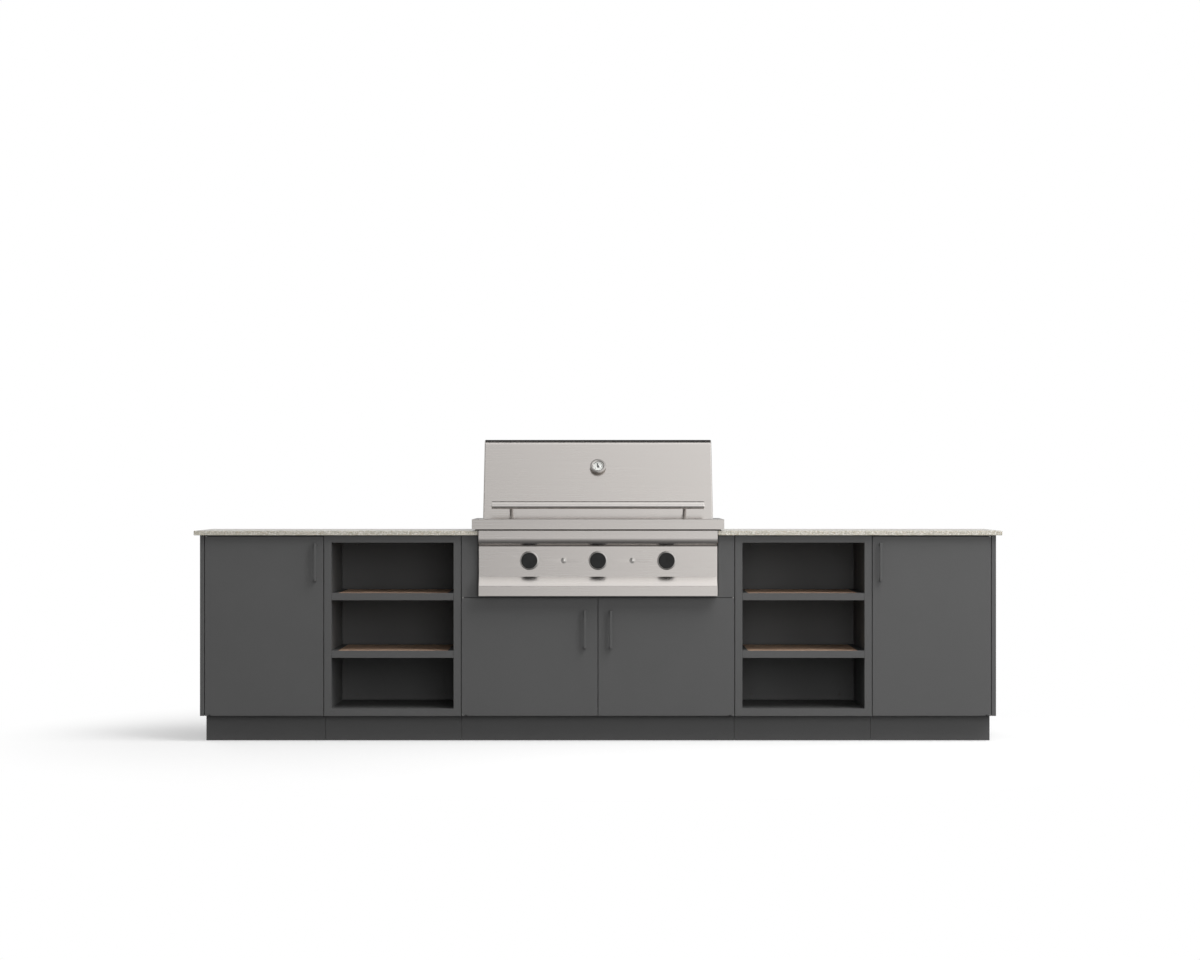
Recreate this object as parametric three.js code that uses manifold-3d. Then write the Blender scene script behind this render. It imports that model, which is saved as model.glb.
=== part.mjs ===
// Outdoor kitchen island: five sheet-metal base cabinets in a row, a stone counter and a
// built-in gas grill. Millimetres, +X to the right, +Y to the back, +Z up.
// The parts are laid out with Y = 0 at the door faces and Z = 0 on the floor. At the end the
// island is moved along Y so that its origin lies on the floor under the middle of its box.
import * as THREE from "three";
import { mergeVertices } from "three/addons/utils/BufferGeometryUtils.js";
import Module from "manifold-3d";

const wasm = await Module();
wasm.setup();

// Row of cabinets
const grillBayWidth = 1219.2;
const openBayWidth = 609.6;
const doorBayWidth = 533.4;
const cabinetDepth = 610;
const plinthHeight = 114;
const carcassHeight = 804;
const bayJoint = 1;
const seatGap = 0.3;
const sheet = 1.2;
const overrun = 5;

// Face frames, double walls and backs
const wallThickness = 32.5;
const backThickness = 20;

// Plinths
const plinthRecess = 75;
const plinthRearRecess = 20;
const plinthFlange = 40;

// End panels
const endPanelThickness = 19;

// Doors, their pivots and handles
const doorThickness = 19;
const doorReveal = 3;
const doorCushion = 1.5;
const doorLift = 1;
const doorTopDrop = 6;
const pivotInset = 5;
const pivotRadius = 3;
const pivotPlay = 0.5;
const lugThickness = 3.5;
const lugReach = 10;
const lugEdge = 0.5;
const notchWidth = 25;
const notchPlay = 2;
const handleLength = 168;
const handleBar = 10;
const handleStandoff = 32;
const doorHandleInset = 35;
const doorHandleDrop = 113.5;
const grillHandleInset = 56;
const grillHandleDrop = 140;

// Shelves of the door cabinets
const shelfThickness = 25;
const shelfHeight = 420;
const shelfFrontInset = 40;
const shelfPlay = 0.5;

// Trays and boards of the open cabinets
const trayHeight = 32;
const trayTopHeights = { upper: 547, lower: 290.5 };
const boardThickness = 14;
const boardFrontInset = 14;
const boardRearInset = 24;
const boardSideInset = 26.8;
const boardPlay = 0.5;
const boardSink = 1;

// Counter
const counterThickness = 20;
const counterSideOverhang = 25;
const counterFrontOverhang = 25;
const counterRearOverhang = 13;
const cutoutPlay = 4;
const cutoutRearStrip = 40;
const slabJoint = 1;

// Control panel
const fillerWidth = 79.6;
const panelProud = 60;
const panelRecess = 35;
const panelTopRise = 1;
const panelBandHeight = 28;
const panelCurveHeight = 41;
const panelFlatHeight = 135;
const panelSlopeHeight = 41;
const panelLipHeight = 46;
const panelSheet = 1.5;
const panelCurveSteps = 7;
const controlsBelowCurve = 64;

// Knobs, valve stems and igniter buttons
const knobSideInset = 225.2;
const knobRadius = 35.5;
const knobDepth = 20;
const knobEdge = 3;
const knobSides = 40;
const bezelRadius = 42;
const bezelThickness = 3;
const bezelSlope = 5;
const stemRadius = 4;
const stemPlay = 0.6;
const stemHoleRadius = 6.5;
const stemSides = 12;
const stemTravel = 3;
const travelMargin = 1;
const stemGrip = 18;
const igniterRadius = 8;
const igniterPlay = 0.6;
const igniterProud = 9;
const igniterLength = 22;
const igniterTravel = 4;
const collarRadius = 12.5;
const collarProud = 5;
const collarSides = 24;
const socketWall = 2;

// Trim frame
const trimSideProud = 30.5;
const trimProud = 35;
const trimRearInset = 27;
const trimLift = 7;
const trimRimHeight = 44;
const trimSheet = 2;
const trimFootInset = 14;
const trimFootRearInset = 8;
const trimOpeningMargin = 8;

// Firebox, grates, burners and drip tray
const fireboxSideInset = 8;
const fireboxFront = 66;
const fireboxRearInset = 70;
const fireboxHeight = 266;
const fireboxSheet = 2;
const grateDrop = 28;
const grateThickness = 9;
const grateBar = 9;
const grateSlot = 14;
const gratePlay = 2;
const ledgeWidth = 16;
const greaseOpeningInset = 30;
const greaseOpeningDepth = 200;
const burnerWidth = 70;
const burnerHeight = 60;
const burnerSheet = 1.5;
const burnerFrontGap = 42;
const burnerRearGap = 42;
const burnerBelowAxis = 18;
const portWidth = 4;
const portLength = 44;
const portCount = 10;
const venturiRadius = 16;
const venturiWall = 1.5;
const venturiReach = 16;
const venturiPlay = 0.8;
const tubeSides = 16;
const dripTraySideInset = 142;
const dripTrayDepth = 280;
const dripTrayHeight = 25;
const dripTrayDrop = 30;
const railSheet = 2;
const railFlange = 14;

// Gas manifold
const manifoldRadius = 11;
const manifoldSideInset = 100;
const manifoldDrop = 35;
const manifoldSetback = 25;
const valveWidth = 34;
const valveFront = -10;
const valveDepth = 55;
const valveAbove = 18;
const nozzleRadius = 4;
const nozzleReach = 12;
const hexRadius = 16;
const hexLength = 25;
const hexSides = 6;
const bracketWidth = 20;
const bracketHeight = 12;
const bracketSetIn = 104.8;

// Hood
const hoodSideInset = 10;
const hoodSetback = 5;
const hoodLift = 3;
const hoodRise = 354;
const hoodLean = 212;
const hoodSheet = 1.5;
const hoodBendRadius = 28;
const hoodBendSteps = 4;
const hoodRearInset = 65;
const hoodTopRearInset = 170;
const hoodRearRise = 190;
const hingeSetback = 15;
const hingeLift = 18;
const hingePinRadius = 5;
const hingePinPlay = 0.5;
const hingePinLength = 46;
const hingeSides = 12;
const hingeEarRadius = 11;
const hingeEarThickness = 12;
const hingeEarInset = 28;
const hingeTabRadius = 12;

// Hood handle
const hoodHandleSideInset = 37;
const hoodHandleRadius = 17;
const hoodHandleWall = 2;
const hoodHandleStandoff = 72;
const hoodHandleHeight = 27;
const hoodHandlePostInset = 90;
const hoodHandlePostRadius = 8;
const hoodHandleSides = 28;
const drainRadius = 3;
const drainSides = 8;

// Thermometer
const gaugeHeight = 266;
const gaugeRadius = 35;
const gaugeDepth = 18;
const gaugeNeckRadius = 26;
const gaugeNeckDepth = 7;
const gaugeRim = 5;
const gaugeDialDepth = 6;
const gaugeSides = 32;
const probeRadius = 3;
const probeLength = 60;
const probePlay = 0.8;
const needlePostRadius = 1.6;
const needleLength = 22;
const needleTail = 8;
const needleHubRadius = 4;
const needleWidth = 3.2;
const needleThickness = 0.8;
const needleLift = 0.6;
const needlePlay = 0.4;
const needleSides = 10;
const needleRestAngle = Math.PI / 12;

// Lines of the layout that several parts share
const carcassTop = plinthHeight + carcassHeight;
const carcassFront = doorThickness + doorCushion;
const counterBottom = carcassTop + seatGap;
const counterTop = counterBottom + counterThickness;
const panelWidth = grillBayWidth - 2 * fillerWidth;
const cutoutHalf = panelWidth / 2 + cutoutPlay;
const cutoutDepth = cabinetDepth - cutoutRearStrip;
const knobSpacing = panelWidth / 2 - knobSideInset;
const panelTop = counterTop + panelTopRise;
const panelCurveTop = panelTop - panelBandHeight;
const panelFlatTop = panelCurveTop - panelCurveHeight;
const panelFlatBottom = panelFlatTop - panelFlatHeight;
const panelLipTop = panelFlatBottom - panelSlopeHeight;
const panelBottom = panelLipTop - panelLipHeight;
const panelFace = -panelProud + panelRecess;
const controlsHeight = panelFlatTop - controlsBelowCurve;
const surroundBottom = panelBottom - seatGap - 2 * doorReveal;
const trimBottom = counterTop + trimLift;
const trimTop = trimBottom + trimRimHeight;
const trimWidth = panelWidth + 2 * trimSideProud;
const trimBack = cabinetDepth - trimRearInset;
const fireboxWidth = panelWidth - 2 * fireboxSideInset;
const fireboxDepth = cabinetDepth - fireboxRearInset - fireboxFront;
const fireboxTop = trimTop - trimSheet - seatGap;
const fireboxBottom = fireboxTop - fireboxHeight;
const fireboxBack = fireboxFront + fireboxDepth;
const dripTrayWidth = fireboxWidth - 2 * dripTraySideInset;
const hoodWidth = fireboxWidth - 2 * hoodSideInset;
const hoodRear = cabinetDepth - hoodRearInset;
const hoodTopRear = cabinetDepth - hoodTopRearInset;
const hoodBottom = trimTop + hoodLift;
const hoodAngle = Math.atan2(hoodLean, hoodRise);
const hingeAxisY = hoodRear + hingeSetback;
const hingeAxisZ = hoodBottom + hingeLift;
const grateTop = trimTop - grateDrop;
const boardWidth = openBayWidth - bayJoint - 2 * (wallThickness + boardSideInset);
const boardDepth = cabinetDepth - backThickness - boardRearInset - boardFrontInset;
const knobBack = panelFace - bezelThickness - stemTravel - travelMargin;
const stemEnd = valveFront + valveDepth / 3;

// Finishes
const finishes = {
  powderCoat: { color: 0x5c5c5c, roughness: 0.55, metalness: 0.2 },
  powderCoatDark: { color: 0x454545, roughness: 0.6, metalness: 0.2 },
  stainless: { color: 0xbdb8b4, roughness: 0.34, metalness: 0.95 },
  darkSteel: { color: 0x7d7a77, roughness: 0.5, metalness: 0.9 },
  granite: { color: 0xc9cabb, roughness: 0.3, metalness: 0 },
  wood: { color: 0x84664e, roughness: 0.6, metalness: 0 },
  knobBlack: { color: 0x2b2b2b, roughness: 0.6, metalness: 0 },
  brass: { color: 0xb08d4a, roughness: 0.4, metalness: 0.9 },
  needleBlack: { color: 0x2a2a2a, roughness: 0.5, metalness: 0 },
};

// A three.js geometry as a solid that can be joined and cut
function solidFrom(geometry) {
  const bare = geometry.clone();
  bare.deleteAttribute("normal");
  bare.deleteAttribute("uv");
  const merged = mergeVertices(bare);
  const corners = merged.index.array;
  const kept = [];
  for (let i = 0; i < corners.length; i += 3) {
    const [a, b, c] = [corners[i], corners[i + 1], corners[i + 2]];
    if (a !== b && b !== c && c !== a) {
      kept.push(a, b, c);
    }
  }
  return new wasm.Manifold(new wasm.Mesh({
    numProp: 3,
    vertProperties: merged.attributes.position.array,
    triVerts: new Uint32Array(kept),
  }));
}

// The named mesh of a finished solid
function piece(name, solid, finish) {
  const { vertProperties, triVerts } = solid.getMesh();
  const geometry = new THREE.BufferGeometry();
  geometry.setAttribute("position", new THREE.BufferAttribute(vertProperties, 3));
  geometry.setIndex(new THREE.BufferAttribute(triVerts, 1));
  geometry.computeVertexNormals();
  const mesh = new THREE.Mesh(geometry, new THREE.MeshStandardMaterial(finish));
  mesh.name = name;
  return mesh;
}

function groupAt(x, y, z, ...children) {
  const group = new THREE.Group();
  group.position.set(x, y, z);
  for (const child of children) {
    group.add(child);
  }
  return group;
}

// A block between two opposite corners, given in any order
function block(xs, ys, zs) {
  const [x, y, z] = [xs, ys, zs].map(([from, to]) => Math.abs(to - from));
  const [midX, midY, midZ] = [xs, ys, zs].map(([from, to]) => (from + to) / 2);
  const geometry = new THREE.BoxGeometry(x, y, z);
  geometry.translate(midX, midY, midZ);
  return solidFrom(geometry);
}

// A round bar from one point to another
function bar(radius, start, end, sides) {
  const from = new THREE.Vector3(...start);
  const to = new THREE.Vector3(...end);
  const geometry = new THREE.CylinderGeometry(radius, radius, from.distanceTo(to), sides);
  const along = to.clone().sub(from).normalize();
  const turn = new THREE.Quaternion().setFromUnitVectors(new THREE.Vector3(0, 1, 0), along);
  geometry.applyQuaternion(turn);
  const middle = from.add(to).multiplyScalar(1 / 2);
  geometry.translate(middle.x, middle.y, middle.z);
  return solidFrom(geometry);
}

// An outline of (y, z) points drawn out along X
function prismAlongX(outline, fromX, toX) {
  const shape = new THREE.Shape(outline.map(([y, z]) => new THREE.Vector2(y, z)));
  const geometry = new THREE.ExtrudeGeometry(shape, { depth: toX - fromX, bevelEnabled: false });
  const turned = new THREE.Matrix4().makeBasis(
    new THREE.Vector3(0, 1, 0), new THREE.Vector3(0, 0, 1), new THREE.Vector3(1, 0, 0));
  geometry.applyMatrix4(turned);
  geometry.translate(fromX, 0, 0);
  return solidFrom(geometry);
}

// An outline of (x, y) points drawn up along Z
function prismAlongZ(outline, fromZ, toZ) {
  const shape = new THREE.Shape(outline.map(([x, y]) => new THREE.Vector2(x, y)));
  const geometry = new THREE.ExtrudeGeometry(shape, { depth: toZ - fromZ, bevelEnabled: false });
  geometry.translate(0, 0, fromZ);
  return solidFrom(geometry);
}

// A profile of (radius, y) points, drawn counter-clockwise, turned about Y
function turnedAboutY(profile, sides) {
  const points = profile.map(([radius, y]) => new THREE.Vector2(radius, y));
  return solidFrom(new THREE.LatheGeometry(points, sides));
}

// Moves every edge of a counter-clockwise outline inwards by its own amount
function insetOutline(outline, amounts) {
  const edges = outline.map((start, i) => {
    const end = outline[(i + 1) % outline.length];
    const along = [end[0] - start[0], end[1] - start[1]];
    const length = Math.hypot(...along);
    const inward = [-along[1] / length, along[0] / length];
    const shift = amounts[i];
    return { start: [start[0] + inward[0] * shift, start[1] + inward[1] * shift], along };
  });
  return edges.map((edge, i) => {
    const before = edges[(i + edges.length - 1) % edges.length];
    const cross = before.along[0] * edge.along[1] - before.along[1] * edge.along[0];
    const gap = [edge.start[0] - before.start[0], edge.start[1] - before.start[1]];
    const travel = (gap[0] * edge.along[1] - gap[1] * edge.along[0]) / cross;
    return [before.start[0] + before.along[0] * travel, before.start[1] + before.along[1] * travel];
  });
}

// The double-walled shell of a cabinet, open at the front: folded sheet around hollow walls
// whose cavities are open upwards, or downwards under the floor
function carcassShell(bayWidth, front, openTop) {
  const half = (bayWidth - bayJoint) / 2;
  const inner = half - wallThickness;
  const cavityX = [-inner + sheet, inner - sheet];
  const cavityY = [front + sheet, cabinetDepth - sheet];
  const above = carcassHeight + overrun;
  const interiorTop = openTop ? above : carcassHeight - wallThickness;
  let shell = block([-half, half], [front, cabinetDepth], [0, carcassHeight]);
  shell = shell.subtract(block([-inner, inner], [front - overrun, cabinetDepth - backThickness],
    [wallThickness, interiorTop]));
  for (const side of [-1, 1]) {
    shell = shell.subtract(block([side * (inner + sheet), side * (half - sheet)], cavityY,
      [sheet, above]));
  }
  shell = shell.subtract(block(cavityX, cavityY, [-overrun, wallThickness - sheet]));
  shell = shell.subtract(block(cavityX, [cabinetDepth - backThickness + sheet, cavityY[1]],
    [wallThickness + sheet, above]));
  if (!openTop) {
    shell = shell.subtract(block(cavityX, cavityY, [carcassHeight - wallThickness + sheet, above]));
  }
  return shell;
}

// The lug that carries a door's pivot rod, on the hinge side of the carcass front
function pivotLug(side, hingeEdge, fromZ, toZ) {
  const pivotX = hingeEdge - side * pivotInset;
  const lug = block([hingeEdge - side * lugEdge, pivotX - side * lugReach],
    [lugEdge, carcassFront + sheet], [fromZ, toZ]);
  const hole = bar(pivotRadius + pivotPlay, [pivotX, pivotInset, fromZ - overrun],
    [pivotX, pivotInset, toZ + overrun], stemSides);
  return { lug, hole };
}

function withLugs(shell, side, hingeEdge, spans) {
  let result = shell;
  for (const [fromZ, toZ] of spans) {
    const { lug, hole } = pivotLug(side, hingeEdge, fromZ, toZ);
    result = result.add(lug).subtract(hole);
  }
  return result;
}

// A hollow folded door in a group whose origin is its pivot axis. Side is where it hinges:
// -1 at its left edge, 1 at its right edge.
function hingedDoor(doorName, handleName, side, hingeEdge, width, topZ, handleInset, handleDrop) {
  const outward = -side;
  const near = -outward * pivotInset;
  const far = near + outward * width;
  const front = -pivotInset;
  const back = doorThickness - pivotInset;
  const notchTop = lugThickness + notchPlay;
  const notchFar = near + outward * notchWidth;
  const outside = block([near, far], [front, back], [doorLift, topZ]);
  const hollow = block([near + outward * sheet, far - outward * sheet],
    [front + sheet, back - sheet], [doorLift + sheet, topZ - sheet]);
  const notch = block([near - outward * overrun, notchFar], [front - overrun, back + overrun],
    [-overrun, notchTop]);
  const notchWall = block([near - outward * overrun, notchFar + outward * sheet],
    [front - overrun, back + overrun], [-overrun, notchTop + sheet]);
  const pivotHole = bar(pivotRadius + pivotPlay, [0, 0, -overrun], [0, 0, topZ + overrun], stemSides);
  const door = outside.subtract(hollow.subtract(notchWall)).subtract(notch).subtract(pivotHole);

  // The handle is one square bar bent back at both ends
  const handleX = far - outward * handleInset;
  const faceY = front - seatGap;
  const handleTop = topZ - handleDrop + handleLength / 2;
  const handleBottom = handleTop - handleLength;
  const handle = prismAlongX([
    [faceY, handleBottom],
    [faceY, handleBottom + handleBar],
    [front - handleStandoff + handleBar, handleBottom + handleBar],
    [front - handleStandoff + handleBar, handleTop - handleBar],
    [faceY, handleTop - handleBar],
    [faceY, handleTop],
    [front - handleStandoff, handleTop],
    [front - handleStandoff, handleBottom],
  ], handleX - handleBar / 2, handleX + handleBar / 2);
  return groupAt(hingeEdge + outward * pivotInset, pivotInset, 0,
    piece(doorName, door, finishes.powderCoat), piece(handleName, handle, finishes.powderCoat));
}

function pivotRod(name, side, hingeEdge, topZ) {
  const rod = bar(pivotRadius, [0, 0, seatGap], [0, 0, topZ], stemSides);
  const mesh = piece(name, rod, finishes.stainless);
  mesh.position.set(hingeEdge - side * pivotInset, pivotInset, 0);
  return mesh;
}

// A ring of channel section with its open side inwards, which stands on the floor
function plinth(name, bayWidth) {
  const half = (bayWidth - bayJoint) / 2;
  const top = plinthHeight - seatGap;
  const front = plinthRecess;
  const back = cabinetDepth - plinthRearRecess;
  const inside = half - plinthFlange;
  const ring = block([-half, half], [front, back], [0, top])
    .subtract(block([-half + sheet, half - sheet], [front + sheet, back - sheet], [sheet, top - sheet]))
    .subtract(block([-inside, inside], [front + plinthFlange, back - plinthFlange],
      [-overrun, top + overrun]));
  return piece(name, ring, finishes.powderCoatDark);
}

function endPanel(name, side) {
  const inner = doorBayWidth / 2 - bayJoint / 2 + seatGap;
  const outer = inner + endPanelThickness;
  const panel = block([side * inner, side * outer], [0, cabinetDepth], [0, carcassHeight])
    .subtract(block([side * (inner - overrun), side * (outer - sheet)],
      [sheet, cabinetDepth - sheet], [sheet, carcassHeight - sheet]));
  return piece(name, panel, finishes.powderCoat);
}

function cabinetShelf(name, bayWidth) {
  const half = (bayWidth - bayJoint) / 2 - wallThickness - shelfPlay;
  const front = carcassFront + shelfFrontInset;
  const back = cabinetDepth - backThickness - shelfPlay;
  const shelf = block([-half, half], [front, back], [0, shelfThickness])
    .subtract(block([-half + sheet, half - sheet], [front + sheet, back - sheet],
      [-overrun, shelfThickness - sheet]));
  const mesh = piece(name, shelf, finishes.powderCoat);
  mesh.position.z = shelfHeight;
  return mesh;
}

// A door cabinet with its end panel, door, shelf and plinth. Side is -1 on the left.
function doorCabinet(word, side) {
  const hingeEdge = side * (doorBayWidth / 2 - doorReveal);
  const lugTop = [carcassHeight - lugThickness, carcassHeight];
  const shell = withLugs(carcassShell(doorBayWidth, carcassFront, false), side, hingeEdge,
    [[0, lugThickness], lugTop]);
  const centre = side * (grillBayWidth / 2 + openBayWidth + doorBayWidth / 2);
  const cabinet = groupAt(centre, 0, plinthHeight,
    piece(`${word}_door_cabinet_carcass`, shell, finishes.powderCoat),
    endPanel(`${word}_end_panel`, side),
    cabinetShelf(`${word}_cabinet_shelf`, doorBayWidth),
    pivotRod(`${word}_door_pivot_rod`, side, hingeEdge, carcassHeight - seatGap),
    hingedDoor(`${word}_door`, `${word}_door_handle`, side, hingeEdge,
      doorBayWidth - 2 * doorReveal, carcassHeight - doorTopDrop, doorHandleInset, doorHandleDrop));
  return [cabinet, groupAt(centre, 0, 0, plinth(`${word}_door_cabinet_plinth`, doorBayWidth))];
}

// A tray shelf: a folded pan whose front lip is flush with the face frame, with a sunken
// place for the wooden board
function trayShelf(name) {
  const half = (openBayWidth - bayJoint) / 2 - wallThickness - shelfPlay;
  const back = cabinetDepth - backThickness - shelfPlay;
  const pocketHalf = boardWidth / 2 + boardPlay;
  const pocketY = [boardFrontInset, boardFrontInset + boardDepth + 2 * boardPlay];
  const pocketFloor = trayHeight - boardSink - boardThickness - seatGap;
  const folded = block([-half, half], [0, back], [0, trayHeight])
    .subtract(block([-half + sheet, half - sheet], [sheet, back - sheet],
      [-overrun, trayHeight - sheet]));
  const pan = block([-pocketHalf - sheet, pocketHalf + sheet],
    [pocketY[0] - sheet, pocketY[1] + sheet], [pocketFloor - sheet, trayHeight]);
  const pocket = block([-pocketHalf, pocketHalf], pocketY, [pocketFloor, trayHeight + overrun]);
  return piece(name, folded.add(pan).subtract(pocket), finishes.powderCoat);
}

function trayBoard(name) {
  const top = trayHeight - boardSink;
  const front = boardFrontInset + boardPlay;
  const board = block([-boardWidth / 2, boardWidth / 2], [front, front + boardDepth],
    [top - boardThickness, top]);
  return piece(name, board, finishes.wood);
}

function openCabinet(word, side) {
  const centre = side * (grillBayWidth + openBayWidth) / 2;
  const cabinet = groupAt(centre, 0, plinthHeight,
    piece(`${word}_open_cabinet_carcass`, carcassShell(openBayWidth, 0, false), finishes.powderCoat));
  for (const [level, top] of Object.entries(trayTopHeights)) {
    cabinet.add(groupAt(0, 0, top - trayHeight,
      trayShelf(`${word}_${level}_tray`), trayBoard(`${word}_${level}_board`)));
  }
  return [cabinet, groupAt(centre, 0, 0, plinth(`${word}_open_cabinet_plinth`, openBayWidth))];
}

// Two filler panels beside the control panel, joined by a low rail under it
function grillSurround() {
  const outer = grillBayWidth / 2 - doorReveal;
  const top = carcassTop - seatGap;
  const back = carcassFront - seatGap;
  let surround = block([-cutoutHalf - sheet, cutoutHalf + sheet], [0, doorThickness],
    [surroundBottom, panelBottom - seatGap]);
  for (const side of [-1, 1]) {
    const filler = block([side * (cutoutHalf + sheet), side * outer], [0, back], [surroundBottom, top])
      .subtract(block([side * (cutoutHalf + 2 * sheet), side * (outer - sheet)], [sheet, back + overrun],
        [surroundBottom + sheet, top - sheet]));
    const pivotX = side * (outer - pivotInset);
    const hole = bar(pivotRadius + pivotPlay, [pivotX, pivotInset, surroundBottom - overrun],
      [pivotX, pivotInset, surroundBottom + overrun], stemSides);
    surround = surround.add(filler).subtract(hole);
  }
  return piece("grill_surround", surround, finishes.powderCoat);
}

function grillCabinet() {
  const doorTop = surroundBottom - plinthHeight - doorCushion * 2;
  const hingeEdge = grillBayWidth / 2 - doorReveal;
  const doorWidth = hingeEdge - doorReveal / 2;
  const inner = (grillBayWidth - bayJoint) / 2 - wallThickness;
  const railY = [carcassFront, carcassFront + wallThickness];
  const railZ = [doorTop - wallThickness, surroundBottom - plinthHeight];
  const rail = block([-inner, inner], railY, railZ)
    .subtract(block([-inner, inner], [railY[0] + sheet, railY[1] + overrun],
      [railZ[0] + sheet, railZ[1] - sheet]));
  let shell = carcassShell(grillBayWidth, carcassFront, true).add(rail);
  const cabinet = groupAt(0, 0, plinthHeight);
  for (const [word, side] of [["left", -1], ["right", 1]]) {
    const edge = side * hingeEdge;
    shell = withLugs(shell, side, edge, [[0, lugThickness]]);
    cabinet.add(
      pivotRod(`grill_${word}_pivot_rod`, side, edge, surroundBottom - plinthHeight + overrun),
      hingedDoor(`grill_${word}_door`, `grill_${word}_door_handle`, side, edge, doorWidth, doorTop,
        grillHandleInset, grillHandleDrop));
  }
  cabinet.add(piece("grill_cabinet_carcass", shell, finishes.powderCoat));
  return [cabinet, plinth("grill_cabinet_plinth", grillBayWidth), grillSurround()];
}

// Two stone slabs that meet behind the grill
function counter() {
  const endPanelOuter = doorBayWidth - bayJoint / 2 + seatGap + endPanelThickness;
  const outer = grillBayWidth / 2 + openBayWidth + endPanelOuter + counterSideOverhang;
  const front = -counterFrontOverhang;
  const back = cabinetDepth + counterRearOverhang;
  return [["left", -1], ["right", 1]].map(([word, side]) => {
    const outline = [
      [side * outer, front],
      [side * cutoutHalf, front],
      [side * cutoutHalf, cutoutDepth],
      [side * slabJoint / 2, cutoutDepth],
      [side * slabJoint / 2, back],
      [side * outer, back],
    ];
    return piece(`counter_${word}_slab`, prismAlongZ(outline, counterBottom, counterTop),
      finishes.granite);
  });
}

// Bent steel front of the grill: a band, a cove that turns under it, the recessed face of the
// controls, a slope and a lip
function controlPanel() {
  const front = -panelProud;
  const back = fireboxFront - seatGap;
  const cove = [];
  for (let step = 0; step <= panelCurveSteps; step += 1) {
    const angle = (step / panelCurveSteps) * (Math.PI / 2);
    cove.push([front + panelRecess * (1 - Math.cos(angle)),
      panelCurveTop - panelCurveHeight * Math.sin(angle)]);
  }
  const outline = [
    [back, panelTop],
    [front, panelTop],
    ...cove,
    [panelFace, panelFlatBottom],
    [front, panelLipTop],
    [front, panelBottom],
    [back, panelBottom],
  ];
  const walls = outline.map(() => panelSheet);
  walls[outline.length - 1] = -overrun;
  const half = panelWidth / 2;
  let panel = prismAlongX(outline, -half, half)
    .subtract(prismAlongX(insetOutline(outline, walls), -half + panelSheet, half - panelSheet));
  for (const side of [-1, 0, 1]) {
    const x = side * knobSpacing;
    const bezel = turnedAboutY([
      [0, panelFace - bezelThickness],
      [bezelRadius - bezelSlope, panelFace - bezelThickness],
      [bezelRadius, panelFace - bezelThickness / 4],
      [bezelRadius, panelFace + panelSheet / 2],
      [0, panelFace + panelSheet / 2],
    ], knobSides);
    const hole = bar(stemHoleRadius, [0, panelFace - overrun, 0], [0, panelFace + overrun, 0], stemSides);
    panel = panel.add(bezel.subtract(hole).translate([x, 0, controlsHeight]))
      .subtract(hole.translate([x, 0, controlsHeight]));
  }
  const boreRadius = igniterRadius + igniterPlay;
  const boreEnd = panelFace - igniterProud + igniterLength + igniterTravel + travelMargin;
  const socket = turnedAboutY([
    [0, panelFace - collarProud],
    [collarRadius - socketWall / 2, panelFace - collarProud],
    [collarRadius, panelFace - collarProud + socketWall / 2],
    [collarRadius, boreEnd + socketWall],
    [0, boreEnd + socketWall],
  ], collarSides);
  const bore = bar(boreRadius, [0, panelFace - collarProud - overrun, 0], [0, boreEnd, 0], collarSides);
  for (const side of [-1, 1]) {
    const place = [side * knobSpacing / 2, 0, controlsHeight];
    panel = panel.add(socket.translate(place)).subtract(bore.translate(place));
  }
  return piece("control_panel", panel, finishes.stainless);
}

function knob(name) {
  const front = knobBack - knobDepth;
  const socketRadius = stemRadius + stemPlay;
  const socketEnd = knobBack - stemGrip;
  const solid = turnedAboutY([
    [0, front],
    [knobRadius - knobEdge, front],
    [knobRadius, front + knobEdge],
    [knobRadius, knobBack],
    [socketRadius, knobBack],
    [socketRadius, socketEnd],
    [0, socketEnd],
  ], knobSides);
  return piece(name, solid, finishes.knobBlack);
}

function controls() {
  const parts = [];
  for (const [word, side] of [["left", -1], ["middle", 0], ["right", 1]]) {
    const stem = bar(stemRadius, [0, knobBack - stemGrip + seatGap, 0], [0, stemEnd, 0], stemSides);
    parts.push(groupAt(side * knobSpacing, 0, controlsHeight,
      knob(`${word}_knob`), piece(`${word}_valve_stem`, stem, finishes.darkSteel)));
  }
  for (const [word, side] of [["left", -1], ["right", 1]]) {
    const front = panelFace - igniterProud;
    const button = turnedAboutY([
      [0, front],
      [igniterRadius - travelMargin, front],
      [igniterRadius, front + travelMargin],
      [igniterRadius, front + igniterLength],
      [0, front + igniterLength],
    ], collarSides);
    parts.push(groupAt(side * knobSpacing / 2, 0, controlsHeight,
      piece(`${word}_igniter_button`, button, finishes.stainless)));
  }
  return parts;
}

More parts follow.
